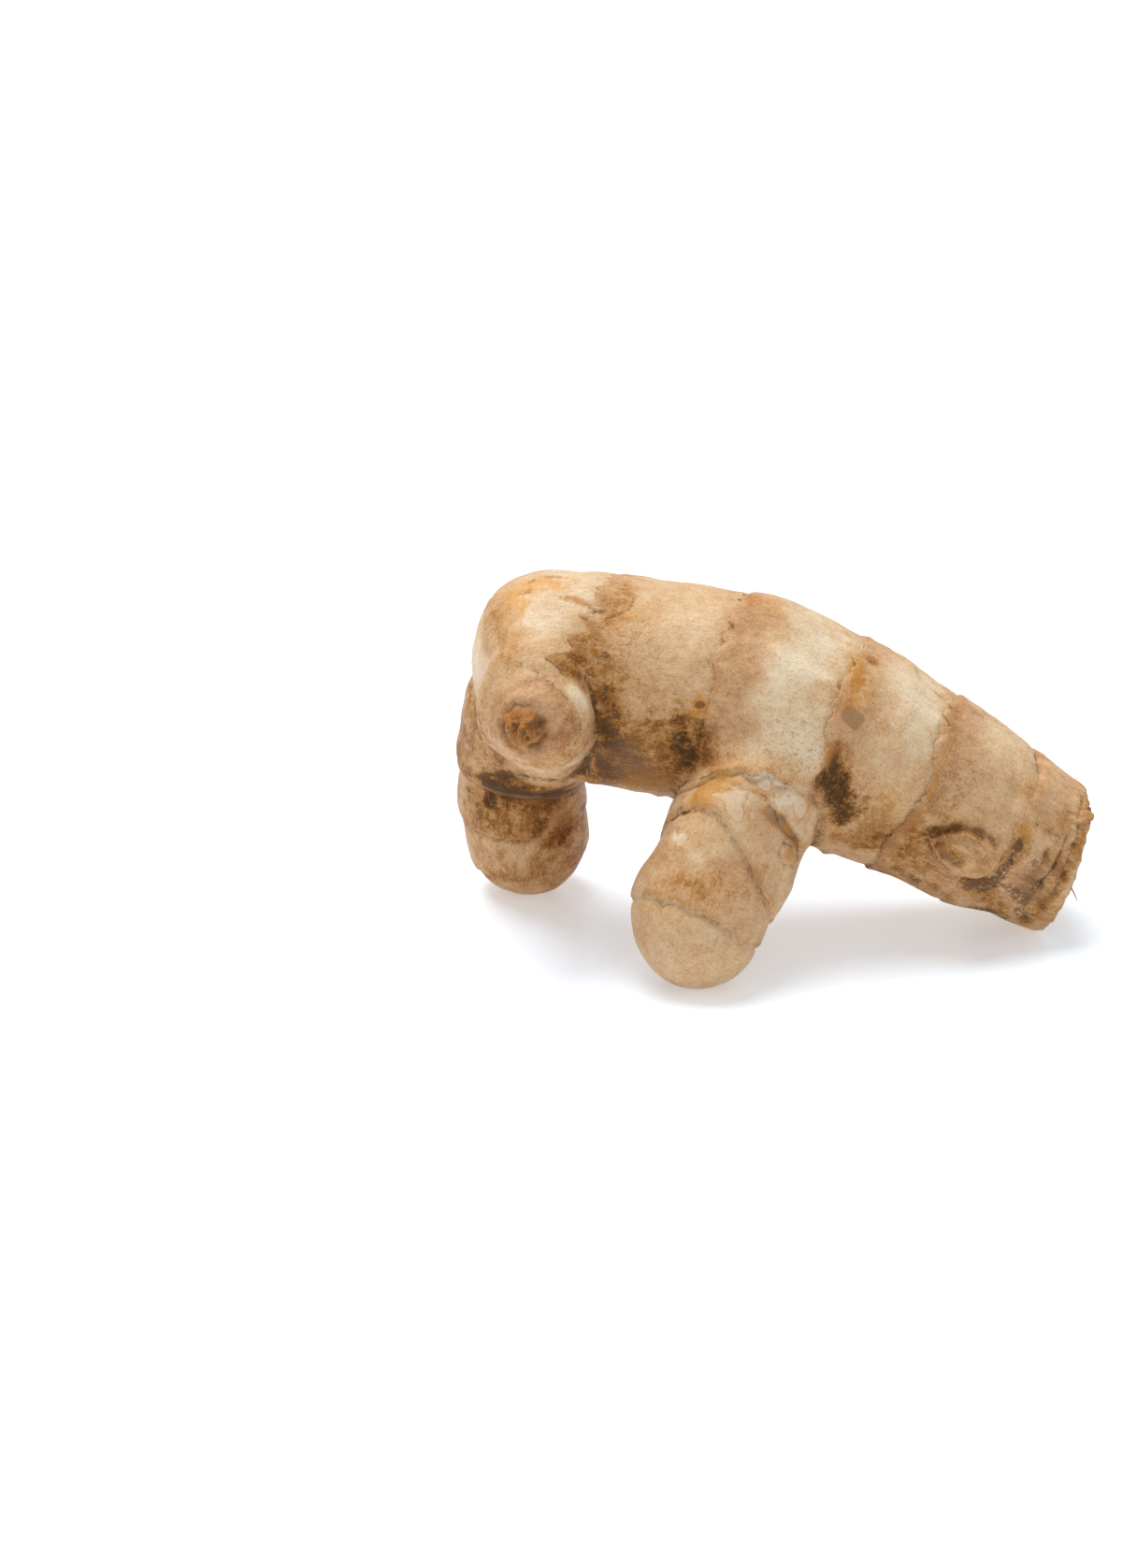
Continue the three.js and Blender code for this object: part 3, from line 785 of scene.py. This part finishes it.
def bandMasks(co, places, share, wide):
    # the papery and brown bands past the torn edges, the way to the nearest edge, and how dark it is
    # painted: its line and the painted shade below its lip
    paperBand, brownBand, near = np.zeros((3, len(co)))
    gap = np.full(len(co), 9.0)
    for name, limbRings in rings.items():
        for ring in limbRings:
            away = ringGap(places[name], ring)
            closer = (abs(away) < abs(gap)) & (share[name] > 0.5)
            gap[closer] = away[closer]
            dark = ring.get("dark", 0.5) * (1 - smoothStep(1.5, 3, abs(away)))
            near = np.maximum(near, dark * share[name])
            band = smoothStep(-1, -0.5, away) * share[name]
            band = band * (1 - smoothStep(0.1, 1, abs(away) / ring["band"]))
            paper = ring["paper"] * (1 + 0.3 * wide[0])
            brown = ring.get("brown", 0) * (1 + 0.3 * wide[1])
            paperBand = np.maximum(paperBand, band * np.clip(paper, 0, 1))
            brownBand = np.maximum(brownBand, band * np.clip(brown, 0, 1))
    return paperBand, brownBand, gap, near


def undersideShadeMask(places, share, uneven):
    # painted shade, darker towards the bottom and over the lower shoot
    stem, front, lower = places["stem"], places["front"], places["lower"]
    under = smoothStep(undersideShade["from"], undersideShade["to"], abs(stem["around"])) * share["stem"]
    under *= 1 - 0.6 * smoothStep(40, 75, stem["along"])
    under = np.maximum(under, undersideShade["lower"] * share["lower"] * smoothStep(0, 10, lower["along"]))
    under = np.maximum(under, undersideShade["front"] * share["front"] * smoothStep(100, 60, abs(front["around"])))
    return np.clip(under + 0.15 * uneven * under, 0, 1)


def addLayer(mesh, name, values, kind="FLOAT", field="value"):
    layer = mesh.attributes.new(name, kind, "POINT")
    layer.data.foreach_set(field, values.astype(np.float32).ravel())


def paint(mesh, co, hollow=None, pastEdge=None):
    # lays the masks on a mesh's points, for the material to read; hollow is painted shade in the skin's
    # hollows, and pastEdge is for a loose leaf edge
    places = {name: findPlace(co, limb) for name, limb in limbs.items()}
    share = limbShares(places)
    stem = places["stem"]
    wide = [bumpSum(co, *wander[way]) for way in ("along", "across")]
    masks = stainMasks(co, places, share, wide)
    masks["paperBand"], masks["brownBand"], gap, near = bandMasks(co, places, share, wide)
    masks["leafBrown"] *= smoothStep(-1, -0.5, gap)
    leafSide = smoothStep(-0.25, 0.3, gap + 0.075 * wide[0])
    masks["rust"] = np.maximum(masks["rust"], masks.pop("leafRust") * leafSide)
    # painted shade: a dark line along the corner at each shoot's foot, and in each groove
    cracks = 0.95 * cornerShade(places, cornerWidth["crack"]) * (0.85 + 0.2 * wide[0])
    for away, here, depth, dark in eachCrease(co, places, share):
        cracks = np.maximum(cracks, dark * bell(away, 0, 1) * here)
    if pastEdge is not None:
        gap, near, cracks = pastEdge, np.full(len(co), 0.5), np.zeros(len(co))
        masks["papery"] = np.maximum(masks["papery"], 0.5)
    masks.update(cracks=cracks, gap=np.clip(gap, -4, 4), near=near)
    cornerSoil = 0.6 * cornerShade(places, cornerWidth["soil"]) * np.clip(0.6 + 0.5 * wide[1], 0, 1)
    masks["soil"] = np.maximum(masks["soil"], cornerSoil)
    masks["under"] = undersideShadeMask(places, share, wide[0])
    masks["farEnd"] = smoothStep(80, 100, stem["along"]) * share["stem"]
    masks["flesh"] = smoothStep(*brokenEnd["flesh"], endDepth(co)) * (stem["radius"] < 16)
    # the hollow mask is painted shade in the skin's hollows, plus the root scars' own dark
    masks["hollow"] = np.zeros(len(co)) if hollow is None else hollow
    for along, around in rootScars:
        away = patchValue(stem, along, around, rootScarRadius, rootScarRadius)
        masks["hollow"] = np.maximum(masks["hollow"], (1 - smoothStep(0.3, 1, away)) * share["stem"])
    fromScar = np.linalg.norm(co - scar["at"], axis=1) / scar["radius"] + 0.12 * wide[0]
    masks["scarred"] = 1 - smoothStep(*scar["stained"], fromScar)
    masks["red"] = np.maximum(masks["red"], 0.85 * (1 - smoothStep(*scar["reddened"], fromScar)))
    tone = plainTone + toneDrift["stain"] * wide[0] + bumpSum(co, toneDrift["cloud"])
    for name, part in toneParts.items():
        tone += part * masks[name] * (1 + toneDrift["parts"] * wide[1])
    masks["tone"] = np.clip(tone, 0, 1)
    masks["band"] = sum(part * masks[name] for name, part in bandParts.items())
    masks["pure"] = smoothStep(0.7, 0.97, np.max(list(share.values()), axis=0))
    for name, values in masks.items():
        if name not in toneOnly:
            addLayer(mesh, name, values)
    grain = np.zeros((len(co), 3))
    owner = np.argmax(list(share.values()), axis=0)
    for number, place in enumerate(places.values()):
        turn = np.radians(place["around"])
        across = place["radius"] * np.cos(turn), place["radius"] * np.sin(turn)
        part = np.stack([place["along"] + number * 40, *across], 1)
        grain[owner == number] = part[owner == number]
    addLayer(mesh, "grain", grain, "FLOAT_VECTOR", "vector")


# painted shade in the skin's hollows, darker the deeper a point lies below the skin around it
hollowShades = [(6, 0.2, 0.55), (22, 0.9, 0.35)]  # how far round it is measured, how deep is full, how dark
hollow = sum(dark * np.clip(cavities(skin.data, reach) / deep, 0, 1) for reach, deep, dark in hollowShades)
paint(skin.data, skinNow, np.clip(hollow, 0, 1) * (1 - 0.45 * share["front"]))
smoothShading(skin.data)
print("skin is painted")

# the skin's own colours from pale to dark, and the colours laid over them, all linear
skinTones = [
    (0.0, (0.80, 0.675, 0.50)), (0.14, (0.74, 0.57, 0.375)), (0.3, (0.66, 0.445, 0.25)),
    (0.46, (0.57, 0.33, 0.155)), (0.62, (0.42, 0.20, 0.062)), (0.78, (0.26, 0.10, 0.018)),
    (0.9, (0.145, 0.05, 0.008)), (1.0, (0.065, 0.024, 0.005)),
]
colours = {
    "rust": (0.46, 0.175, 0.03), "gold": (0.68, 0.33, 0.07), "red": (0.33, 0.12, 0.035),
    "bruise": (0.29, 0.165, 0.085), "soil": (0.045, 0.03, 0.012), "line": (0.17, 0.065, 0.014),
    "fringe": (0.68, 0.50, 0.31), "flesh": (0.50, 0.295, 0.125), "fleshDark": (0.22, 0.115, 0.042),
    # the darkest brown on the next line serves as soil dirt and as painted shade in the hollows, grooves,
    # shoots' feet and below the ring lips
    "dirtAndShade": (0.10, 0.045, 0.013), "peel": (0.77, 0.60, 0.43), "scab": (0.10, 0.055, 0.028),
    "speck": (0.30, 0.115, 0.03), "pink": (0.60, 0.385, 0.25),
}
# noises as scale, detail and roughness; those that follow the limbs have a stretch instead of a scale
grainSizes = {"cloud": (130, 3, 0.55), "blotch": (420, 4, 0.6), "grit": (1300, 3, 0.6),
              "speck": (2000, 2, 0.65), "dust": (3400, 2, 0.6), "fine": (6200, 2, 0.6)}
stretches = {"fibre": ((0.13, 1.1, 1.1), 4, 0.6), "thread": ((0.55, 3.4, 3.4), 3, 0.6),
             "rib": ((1.3, 0.16, 0.16), 3, 0.55)}
cells = {"pores": 2300.0, "pith": 900.0}
material = bpy.data.materials.new("rhizomeSkin")
material.use_nodes = True
tree = material.node_tree
shader = tree.nodes["Principled BSDF"]


def setSocket(socket, value):
    if isinstance(value, bpy.types.NodeSocket):
        tree.links.new(value, socket)
    else:
        socket.default_value = value


def addNode(kind, inputs=None, **settings):
    made = tree.nodes.new(kind)
    for name, value in settings.items():
        setattr(made, name, value)
    for name, value in (inputs or {}).items():
        setSocket(made.inputs[name], value)
    return made


def readMask(name):
    return addNode("ShaderNodeAttribute", attribute_name=name).outputs["Fac"]


def addNoise(vector, scale, detail, roughness):
    settings = {"Vector": vector, "Scale": scale, "Detail": detail, "Roughness": roughness}
    return addNode("ShaderNodeTexNoise", settings).outputs["Fac"]


def addCells(name):
    return addNode("ShaderNodeTexVoronoi", {"Vector": place, "Scale": cells[name]}).outputs["Distance"]


def calc(operation, a, b=0.0, c=0.0):
    return addNode("ShaderNodeMath", {0: a, 1: b, 2: c}, operation=operation).outputs[0]


def times(product, *factors):
    for factor in factors:
        product = calc("MULTIPLY", product, factor)
    return product


def addUp(total, *parts):
    # the total plus each value times its amount
    for value, amount in parts:
        total = calc("MULTIPLY_ADD", value, amount, total)
    return total


def vary(total, *parts):
    # the same for noises, which stray to both sides of a half
    return addUp(total, *((calc("SUBTRACT", value, 0.5), amount) for value, amount in parts))


def ramp(value, low, high, start=0.0, end=1.0):
    settings = {"Value": value, "From Min": low, "From Max": high, "To Min": start, "To Max": end}
    return addNode("ShaderNodeMapRange", settings, interpolation_type="SMOOTHSTEP").outputs["Result"]


def blendColour(under, over, amount):
    mix = addNode("ShaderNodeMix", data_type="RGBA")
    for number, value in ((0, amount), (6, under), (7, over)):
        setSocket(mix.inputs[number], value)
    return mix.outputs[2]


def paintOver(under, overlays):
    # each overlay is a colour's name and the factors whose product is its strength
    for name, *factors in overlays:
        under = blendColour(under, (*colours[name], 1), times(*factors))
    return under


place = addNode("ShaderNodeTexCoord").outputs["Object"]
grain = addNode("ShaderNodeAttribute", attribute_name="grain").outputs["Vector"]
cloud, blotch, grit, speck, dust, fine = (addNoise(place, *settings) for settings in grainSizes.values())
pores = addCells("pores")
pith = addCells("pith")
pure = readMask("pure")  # grain only where one limb's skin is clear of the others


def grainNoise(name):
    stretch, detail, roughness = stretches[name]
    drawnOut = addNode("ShaderNodeMapping", {"Vector": grain, "Scale": stretch}).outputs["Vector"]
    return vary(0.5, (addNoise(drawnOut, 1.0, detail, roughness), pure))


fibre = grainNoise("fibre")
thread = grainNoise("thread")
rib = grainNoise("rib")


def nodeLayer(name, low, high, coarse=1.0, small=1.0):
    # a mask mottled by the noises: coarse and small say how strongly, low and high where it starts and fills
    return ramp(times(readMask(name), vary(1.0, (blotch, coarse * 2), (grit, small * 2))), low, high)


gap = vary(readMask("gap"), (grit, 0.7))
pastEdge = ramp(gap, -0.14, 0.14)
tone = addUp(readMask("tone"), (readMask("band"), pastEdge))
islands = ramp(addUp(times(blotch, 0.65), (grit, 0.35)), 0.48, 0.53)
mottle = times(calc("SUBTRACT", islands, 0.5), ramp(tone, 0.36, 0.72, 0.012, 0.07))
mottle = vary(mottle, (cloud, 0.288), (blotch, 0.288), (grit, 0.192), (speck, 0.192), (dust, 0.24),
              (fine, 0.24), (fibre, 0.208), (thread, 0.24), (pores, 0.064))
tone = addUp(tone, (mottle, addUp(0.66, (tone, 0.8))))  # browner skin is more mottled
skinRamp = addNode("ShaderNodeValToRGB", {"Fac": tone})
stops = skinRamp.color_ramp.elements
while len(stops) < len(skinTones):
    stops.new(0.5)
for stop, (position, value) in zip(stops, skinTones):
    stop.position = position
    stop.color = (*value, 1)
scarHere, soilHere, near = readMask("scarred"), readMask("soil"), readMask("near")
flecks = ramp(addUp(times(speck, 0.75), (blotch, 0.25)), 0.51, 0.62)
peel = times(readMask("peel"), vary(1.0, (grit, 1.2), (blotch, 1.7)))
bruise = times(readMask("bruise"), vary(1.0, (blotch, 0.8)))
earthy = times(soilHere, vary(1.0, (grit, 2.2), (blotch, 1.6), (dust, 2.4), (speck, 2.2)))
lineHere = times(ramp(gap, -0.25, -0.08), ramp(gap, 0.12, 0.0), near, ramp(blotch, 0.4, 0.62, 0.1, 1.0))
colour = paintOver(skinRamp.outputs["Color"], [
    ("pink", nodeLayer("papery", 0.05, 1.0, 1.2, 1.2), 0.36),
    ("gold", nodeLayer("gold", 0.05, 1.1, 1.2, 1.0), 0.66),
    ("fringe", ramp(fibre, 0.52, 0.72), ramp(tone, 0.35, 0.6, 0.25, 0.0)),
    ("speck", flecks, addUp(0.2, (readMask("stipple"), 0.45))),
    ("rust", nodeLayer("rust", 0.15, 1.1), 0.75),
    ("red", nodeLayer("red", 0.15, 1.0), 0.8),
    ("rust", scarHere, ramp(grit, 0.36, 0.56), 0.85),
    ("scab", scarHere, ramp(blotch, 0.5, 0.62), 0.6),
    ("gold", scarHere, ramp(grit, 0.6, 0.68), 0.6),
    ("peel", ramp(peel, 0.46, 0.56), 0.44),
    ("rust", ramp(peel, 0.34, 0.46), ramp(peel, 0.53, 0.47), 0.45),
    ("line", nodeLayer("dot", 0.3, 0.75, 0.8, 0.6), 0.75),
    ("scab", nodeLayer("scab", 0.26, 0.72, 1.5, 1.5), ramp(speck, 0.34, 0.5, 0.55, 1.0), 0.74),
    ("bruise", ramp(bruise, 0.44, 0.5), 0.6),
    ("rust", ramp(bruise, 0.26, 0.44), ramp(bruise, 0.52, 0.46), 0.7),
    ("rust", ramp(gap, 0.08, 0.3), ramp(gap, 1.3, 0.4), near, 0.35),
    # painted shade and dirt in the groove below each ring's lip
    ("dirtAndShade", ramp(gap, -1.5, -0.1), ramp(gap, 0.1, 0.0), near, 0.12),
])
fleshNoise = addUp(times(pith, 0.12), (grit, 0.4), (blotch, 0.6))
fleshColours = ((*colours[name], 1) for name in ("flesh", "fleshDark"))
fleshColour = blendColour(*fleshColours, ramp(fleshNoise, 0.4, 0.75))
colour = paintOver(blendColour(colour, fleshColour, readMask("flesh")), [
    # painted shade in the hollows, along the shoots' feet and in the grooves; then the real soil
    ("dirtAndShade", nodeLayer("hollow", 0.15, 1.1, 0.8, 0.8), 0.65),
    ("dirtAndShade", nodeLayer("cracks", 0.15, 0.95), 0.85),
    ("dirtAndShade", ramp(earthy, 0.1, 0.9), 0.5),
    ("soil", ramp(earthy, 0.4, 1.5), 0.84),
    ("line", lineHere, 0.34),
])
rough = addUp(ramp(readMask("cream"), 0.1, 0.9, 0.48, 0.37), (readMask("brown"), 0.14), (soilHere, 0.25))
relief = addUp(0.0, (blotch, 0.5), (grit, 0.3), (fibre, 0.35), (pores, 0.12), (thread, 0.15), (rib, 0.12),
               (speck, 0.15), (lineHere, -0.5), (scarHere, addUp(0.0, (grit, 0.7), (blotch, 1.2))))
bump = addNode("ShaderNodeBump", {"Height": relief, "Strength": 0.7, "Distance": 0.0006})
finish = {"Base Color": colour, "Roughness": vary(rough, (grit, 0.3)), "Normal": bump.outputs["Normal"],
          "Specular IOR Level": 0.12, "Sheen Weight": 0.03, "Sheen Roughness": 0.4}
for name, value in finish.items():
    setSocket(shader.inputs[name], value)
skin.data.materials.clear()
skin.data.materials.append(material)
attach(skin, "root")
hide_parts("rhizome")
print("material is made")

# Torn edges of the old leaf bases, standing a little off the skin. A leaf follows a ring between two
# angles, or its own path; reach is how far its sheet goes back before it meets the skin.
leaves = [
    {"name": "leafEdge1", "limb": "stem", "ring": 1, "from": -60, "to": 74, "reach": 1.8, "lift": 0.14,
     "flap": 0.4, "torn": 0.35},
    {"name": "leafEdge2", "limb": "stem", "ring": 2, "from": -170, "to": 92, "reach": 2.8, "lift": 0.14,
     "flap": 0.8, "torn": 0.6},
    {"name": "leafEdge3", "limb": "stem", "ring": 3, "from": -170, "to": 88, "reach": 2.8, "lift": 0.16,
     "flap": 0.6, "torn": 0.5},
    {"name": "leafEdge4", "limb": "stem", "ring": 4, "from": -170, "to": 170, "reach": 3, "lift": 0.12,
     "flap": 0.6, "torn": 0.5},
    {"name": "leafEdge5", "limb": "stem", "ring": 5, "from": -120, "to": 130, "reach": 2, "lift": 0.08,
     "flap": 0.4, "torn": 0.4},
    {"name": "collar", "limb": "front", "ring": 0, "from": 112, "to": 222, "reach": 2, "lift": 0.1,
     "flap": 0.1, "torn": 0.15},
    {"name": "shootEdge", "limb": "front", "ring": 1, "from": 110, "to": 250, "reach": 2, "lift": 0.06,
     "flap": 0.1, "torn": 0.12},
    {"name": "lowerEdge", "limb": "lower", "ring": 0, "from": 0, "to": 200, "reach": 2.2, "lift": 0.12,
     "flap": 0.3, "torn": 0.4},
    {"name": "budLip", "limb": "stem", "lift": 0.95, "flap": 0.4, "torn": 0.12,
     "edge": [(88.9, 98.6), (90.6, 97), (92.2, 94.2), (93.6, 89.6), (95.1, 86.4), (96.5, 86), (97.8, 87),
              (99.2, 89.5)],
     "back": [(90.2, 100.6), (91.6, 100), (92.8, 97), (94.2, 93.5), (95.6, 90.5), (96.8, 89.6),
              (98, 90.4), (99.6, 92)]},
    {"name": "budSkirt", "limb": "stem", "lift": 0.2, "flap": 0.25, "torn": 0.3,
     "edge": [(99.3, 110.6), (101, 110), (102.5, 108.4), (103.6, 105), (104.1, 101.5), (104.8, 95),
              (105.6, 87), (104.7, 81), (105.4, 74)],
     "back": [(98.3, 107.6), (99.8, 107), (101, 105), (101.8, 102), (102.2, 98.5), (102.9, 93),
              (103.4, 87), (102.8, 82), (103.4, 76)]},
    {"name": "topFlake", "limb": "stem", "lift": 0.5, "flap": 0.3, "torn": 0.2,
     "edge": [(47.4, -9), (46.8, -4), (47.6, 1)],
     "back": [(49.4, -9), (49.8, -4), (49.4, 1)]},
    {"name": "rimFlap", "limb": "stem", "lift": 0.9, "flap": 0.6, "torn": 0.2,
     "edge": [(115.6, 22), (116.4, 30), (116.5, 37), (115.7, 44)],
     "back": [(114.2, 23), (113.8, 30), (113.8, 37), (114, 43)]},
]
leafSheet = {"spacing": 0.25, "fewest": 8, "buried": 0.4, "endFade": 1.5}
# the sheet's rows from below its free edge over the top and back under the skin: share of the reach,
# share of the lift, and how far out or in
leafRows = [(0.30, 0.0, -0.35), (0.06, 1.0, -0.1), (0.0, 1.0, -0.04), (0.02, 1.0, 0.0), (0.16, 0.8, 0.0),
            (0.38, 0.42, 0.0), (0.68, 0.1, -0.02), (1.0, 0.0, -0.35), (0.30, 0.0, -0.35)]
leafTeeth = {"base": 0.3, "layers": [(2.2, 0.6, 0), (0.45, 0.3, 4)], "ridges": 0.5, "ridgeSize": 0.8}
underLimb = {"factor": 1.22, "extra": 1.5, "depth": 3}  # where a ray that hits another limb stops instead
degreesPerRadian = 57.3


def skinFinder():
    bm = bmesh.new()
    bm.from_mesh(skin.data)
    finder = BVHTree.FromBMesh(bm)
    bm.free()
    return finder


finder = skinFinder()


def onSkin(limb, along, around):
    # the point and normal of the skin straight out from a limb's axis, or just inside another limb
    at = np.interp(along, limb["length"], np.arange(len(limb["length"])))
    low = int(at)
    high = min(low + 1, len(limb["length"]) - 1)
    part = at - low
    centre, over, across = (limb[key][low] * (1 - part) + limb[key][high] * part
                            for key in ("line", "over", "across"))
    turn = math.radians(around)
    way = Vector(over * math.cos(turn) + across * math.sin(turn)).normalized()
    hit, normal, face, far = finder.ray_cast(Vector(centre) * mm, way)
    radius = np.interp(along, *zip(*limb["girth"]))
    if hit is None or far / mm > radius * underLimb["factor"] + underLimb["extra"]:
        return (Vector(centre) + way * (radius - underLimb["depth"])), way
    return hit / mm, normal


def leafPaths(leaf, radius):
    # the sheet's free edge and its back line, as (along, round) at even spacing, and the edge's length
    if "ring" in leaf:
        ring = rings[leaf["limb"]][leaf["ring"]]
        span = math.radians(leaf["to"] - leaf["from"]) * radius
    else:
        paths = np.array(leaf["edge"]), np.array(leaf["back"])
        steps = np.hypot(np.diff(paths[0][:, 0]), np.diff(paths[0][:, 1]) * radius / degreesPerRadian)
        span = steps.sum()
    run = np.linspace(0, 1, max(int(span / leafSheet["spacing"]), leafSheet["fewest"]))
    if "ring" not in leaf:
        at = np.concatenate([[0], np.cumsum(steps)]) / span
        edge, back = (np.stack([np.interp(run, at, path[:, axis]) for axis in (0, 1)], 1) for path in paths)
        return edge, back, run, span
    angles = leaf["from"] + (leaf["to"] - leaf["from"]) * run
    edge, back = (np.interp(turnFrom(angles, 0), turnGrid, ring[key], period=360)
                  for key in ("edge", "smooth"))
    back += ring["toward"] * leaf["reach"]
    return np.stack([edge, angles], 1), np.stack([back, angles], 1), run, span


def makeLeaf(leaf, number):
    limb = limbs[leaf["limb"]]
    radius = limb["girth"][2][1]
    edge, back, run, span = leafPaths(leaf, radius)
    count = len(run)
    walk = np.stack([run * span, np.full(count, number * 9.1), np.zeros(count)], 1)
    rough = np.clip(0.6 + 2 * bumps(walk, 9, 12), 0.2, 1.3)
    teeth = leafTeeth["base"] + bumpSum(walk, *leafTeeth["layers"])
    teeth += leafTeeth["ridges"] * abs(bumps(walk, leafTeeth["ridgeSize"], 2))
    toSkin = [1, radius / degreesPerRadian]
    outward = np.linalg.norm((edge - back) * toSkin, axis=1)
    edge += (edge - back) * (leaf["torn"] * rough * teeth / outward)[:, None]
    lift = leaf["lift"] * np.clip(0.7 + 1.3 * bumps(walk, 3.5, 6), 0.15, 1.6)
    lift += leaf["flap"] * np.maximum(bumps(walk, 2.4, 7) - 0.3, 0) * 1.5
    fade = leafSheet["endFade"]
    ends = smoothStep(0, fade, run * span) * smoothStep(0, fade, (1 - run) * span)
    bm = bmesh.new()
    bmesh.ops.create_grid(bm, x_segments=count - 1, y_segments=len(leafRows) - 1, size=0.5)
    layer = bm.verts.layers.float.new("pastEdge")
    for vert in bm.verts:
        column = round((vert.co.x + 0.5) * (count - 1))
        row = round((vert.co.y + 0.5) * (len(leafRows) - 1))
        share, rise, sink = leafRows[row]
        spot = edge[column] + (back[column] - edge[column]) * share
        at, normal = onSkin(limb, *spot)
        up = (lift[column] * rise + sink) * ends[column] - leafSheet["buried"] * (1 - ends[column])
        vert.co = (at + normal * up) * mm
        vert[layer] = np.hypot(*((spot - edge[column]) * toSkin))
    bmesh.ops.remove_doubles(bm, verts=bm.verts, dist=0.000001)
    bmesh.ops.holes_fill(bm, edges=[e for e in bm.edges if e.is_boundary], sides=0)
    bmesh.ops.recalc_face_normals(bm, faces=bm.faces)
    mesh = meshFrom(bm, leaf["name"])
    past = np.empty(len(mesh.vertices), np.float32)
    mesh.attributes["pastEdge"].data.foreach_get("value", past)
    finishTrim(mesh, pastEdge=past.astype(float))
    return len(mesh.polygons)


def finishTrim(mesh, pastEdge=None):
    # paints a small piece and hands it to the frame
    paint(mesh, meshPoints(mesh), pastEdge=pastEdge)
    mesh.materials.clear()
    mesh.materials.append(material)
    smoothShading(mesh)
    piece = newObject(mesh.name, mesh)
    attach(piece, "root")


print("leaf edges:", sum(makeLeaf(leaf, number) for number, leaf in enumerate(leaves)), "faces")

rootHair = {"points": [(53.6, -6.6, 13.6), (54.8, -6.9, 12.4), (55.5, -7.2, 11.2), (55.9, -7.4, 9.9)],
            "radius": 0.2, "thick": 1.3, "thinner": 0.3}


def makeHair():
    # a dried root hair at the broken end
    curve = bpy.data.curves.new("hairLine", "CURVE")
    curve.dimensions = "3D"
    curve.bevel_depth = rootHair["radius"] * mm
    curve.use_fill_caps = True
    spline = curve.splines.new("NURBS")
    spline.points.add(len(rootHair["points"]) - 1)
    for number, (point, co) in enumerate(zip(spline.points, rootHair["points"])):
        point.co = (*(Vector(co) * mm), 1)
        point.radius = rootHair["thick"] - rootHair["thinner"] * number
    spline.use_endpoint_u = True
    obj = newObject("hairLine", curve)
    mesh = bakedMesh(obj)
    mesh.name = "rootHair"
    bpy.data.objects.remove(obj)
    finishTrim(mesh)
    darkest = np.ones(len(mesh.vertices), np.float32)
    mesh.attributes["tone"].data.foreach_set("value", darkest)


makeHair()
print("root hair is made")
floor = {"half": 2.5, "colour": (0.79, 0.885, 1.0, 1), "roughness": 0.22, "glow": 0.35}
camera = {"target": (-39.9, 15.2, 24.1), "distance": 824.5, "elevation": 22, "lens": 100}
sun = {"strength": 2.85, "softness": 40, "way": (0.22, -0.2, -1.0)}
worldLight = 0.52


def makeFloor():
    bm = bmesh.new()
    bmesh.ops.create_grid(bm, x_segments=1, y_segments=1, size=floor["half"])
    mesh = meshFrom(bm, "floor")
    white = bpy.data.materials.new("floorWhite")
    white.use_nodes = True
    surface = white.node_tree.nodes["Principled BSDF"]
    surface.inputs["Base Color"].default_value = floor["colour"]
    surface.inputs["Roughness"].default_value = floor["roughness"]
    surface.inputs["Emission Color"].default_value = (1, 1, 1, 1)
    surface.inputs["Emission Strength"].default_value = floor["glow"]
    mesh.materials.append(white)
    newObject("floor", mesh)


def makeLights():
    lamp = bpy.data.lights.new("softbox", "SUN")
    lamp.energy = sun["strength"]
    lamp.angle = math.radians(sun["softness"])
    newObject("softbox", lamp).rotation_euler = Vector(sun["way"]).to_track_quat("-Z", "Y").to_euler()
    world = bpy.data.worlds.new("studio")
    world.use_nodes = True
    light = world.node_tree.nodes["Background"]
    light.inputs["Color"].default_value = (1, 1, 1, 1)
    light.inputs["Strength"].default_value = worldLight
    bpy.context.scene.world = world


def makeCamera():
    lens = bpy.data.cameras.new("camera")
    lens.lens = camera["lens"]
    lens.sensor_width = 36
    lens.clip_start = 0.01
    obj = newObject("camera", lens)
    tilt = math.radians(camera["elevation"])
    back = Vector((0, -math.cos(tilt), math.sin(tilt)))
    obj.location = (Vector(camera["target"]) + back * camera["distance"]) * mm
    obj.rotation_euler = (math.pi / 2 - tilt, 0, 0)
    bpy.context.scene.camera = obj


makeFloor()
makeLights()
makeCamera()
bpy.context.scene.view_settings.view_transform = "Standard"
print("floor, lights and camera are set")
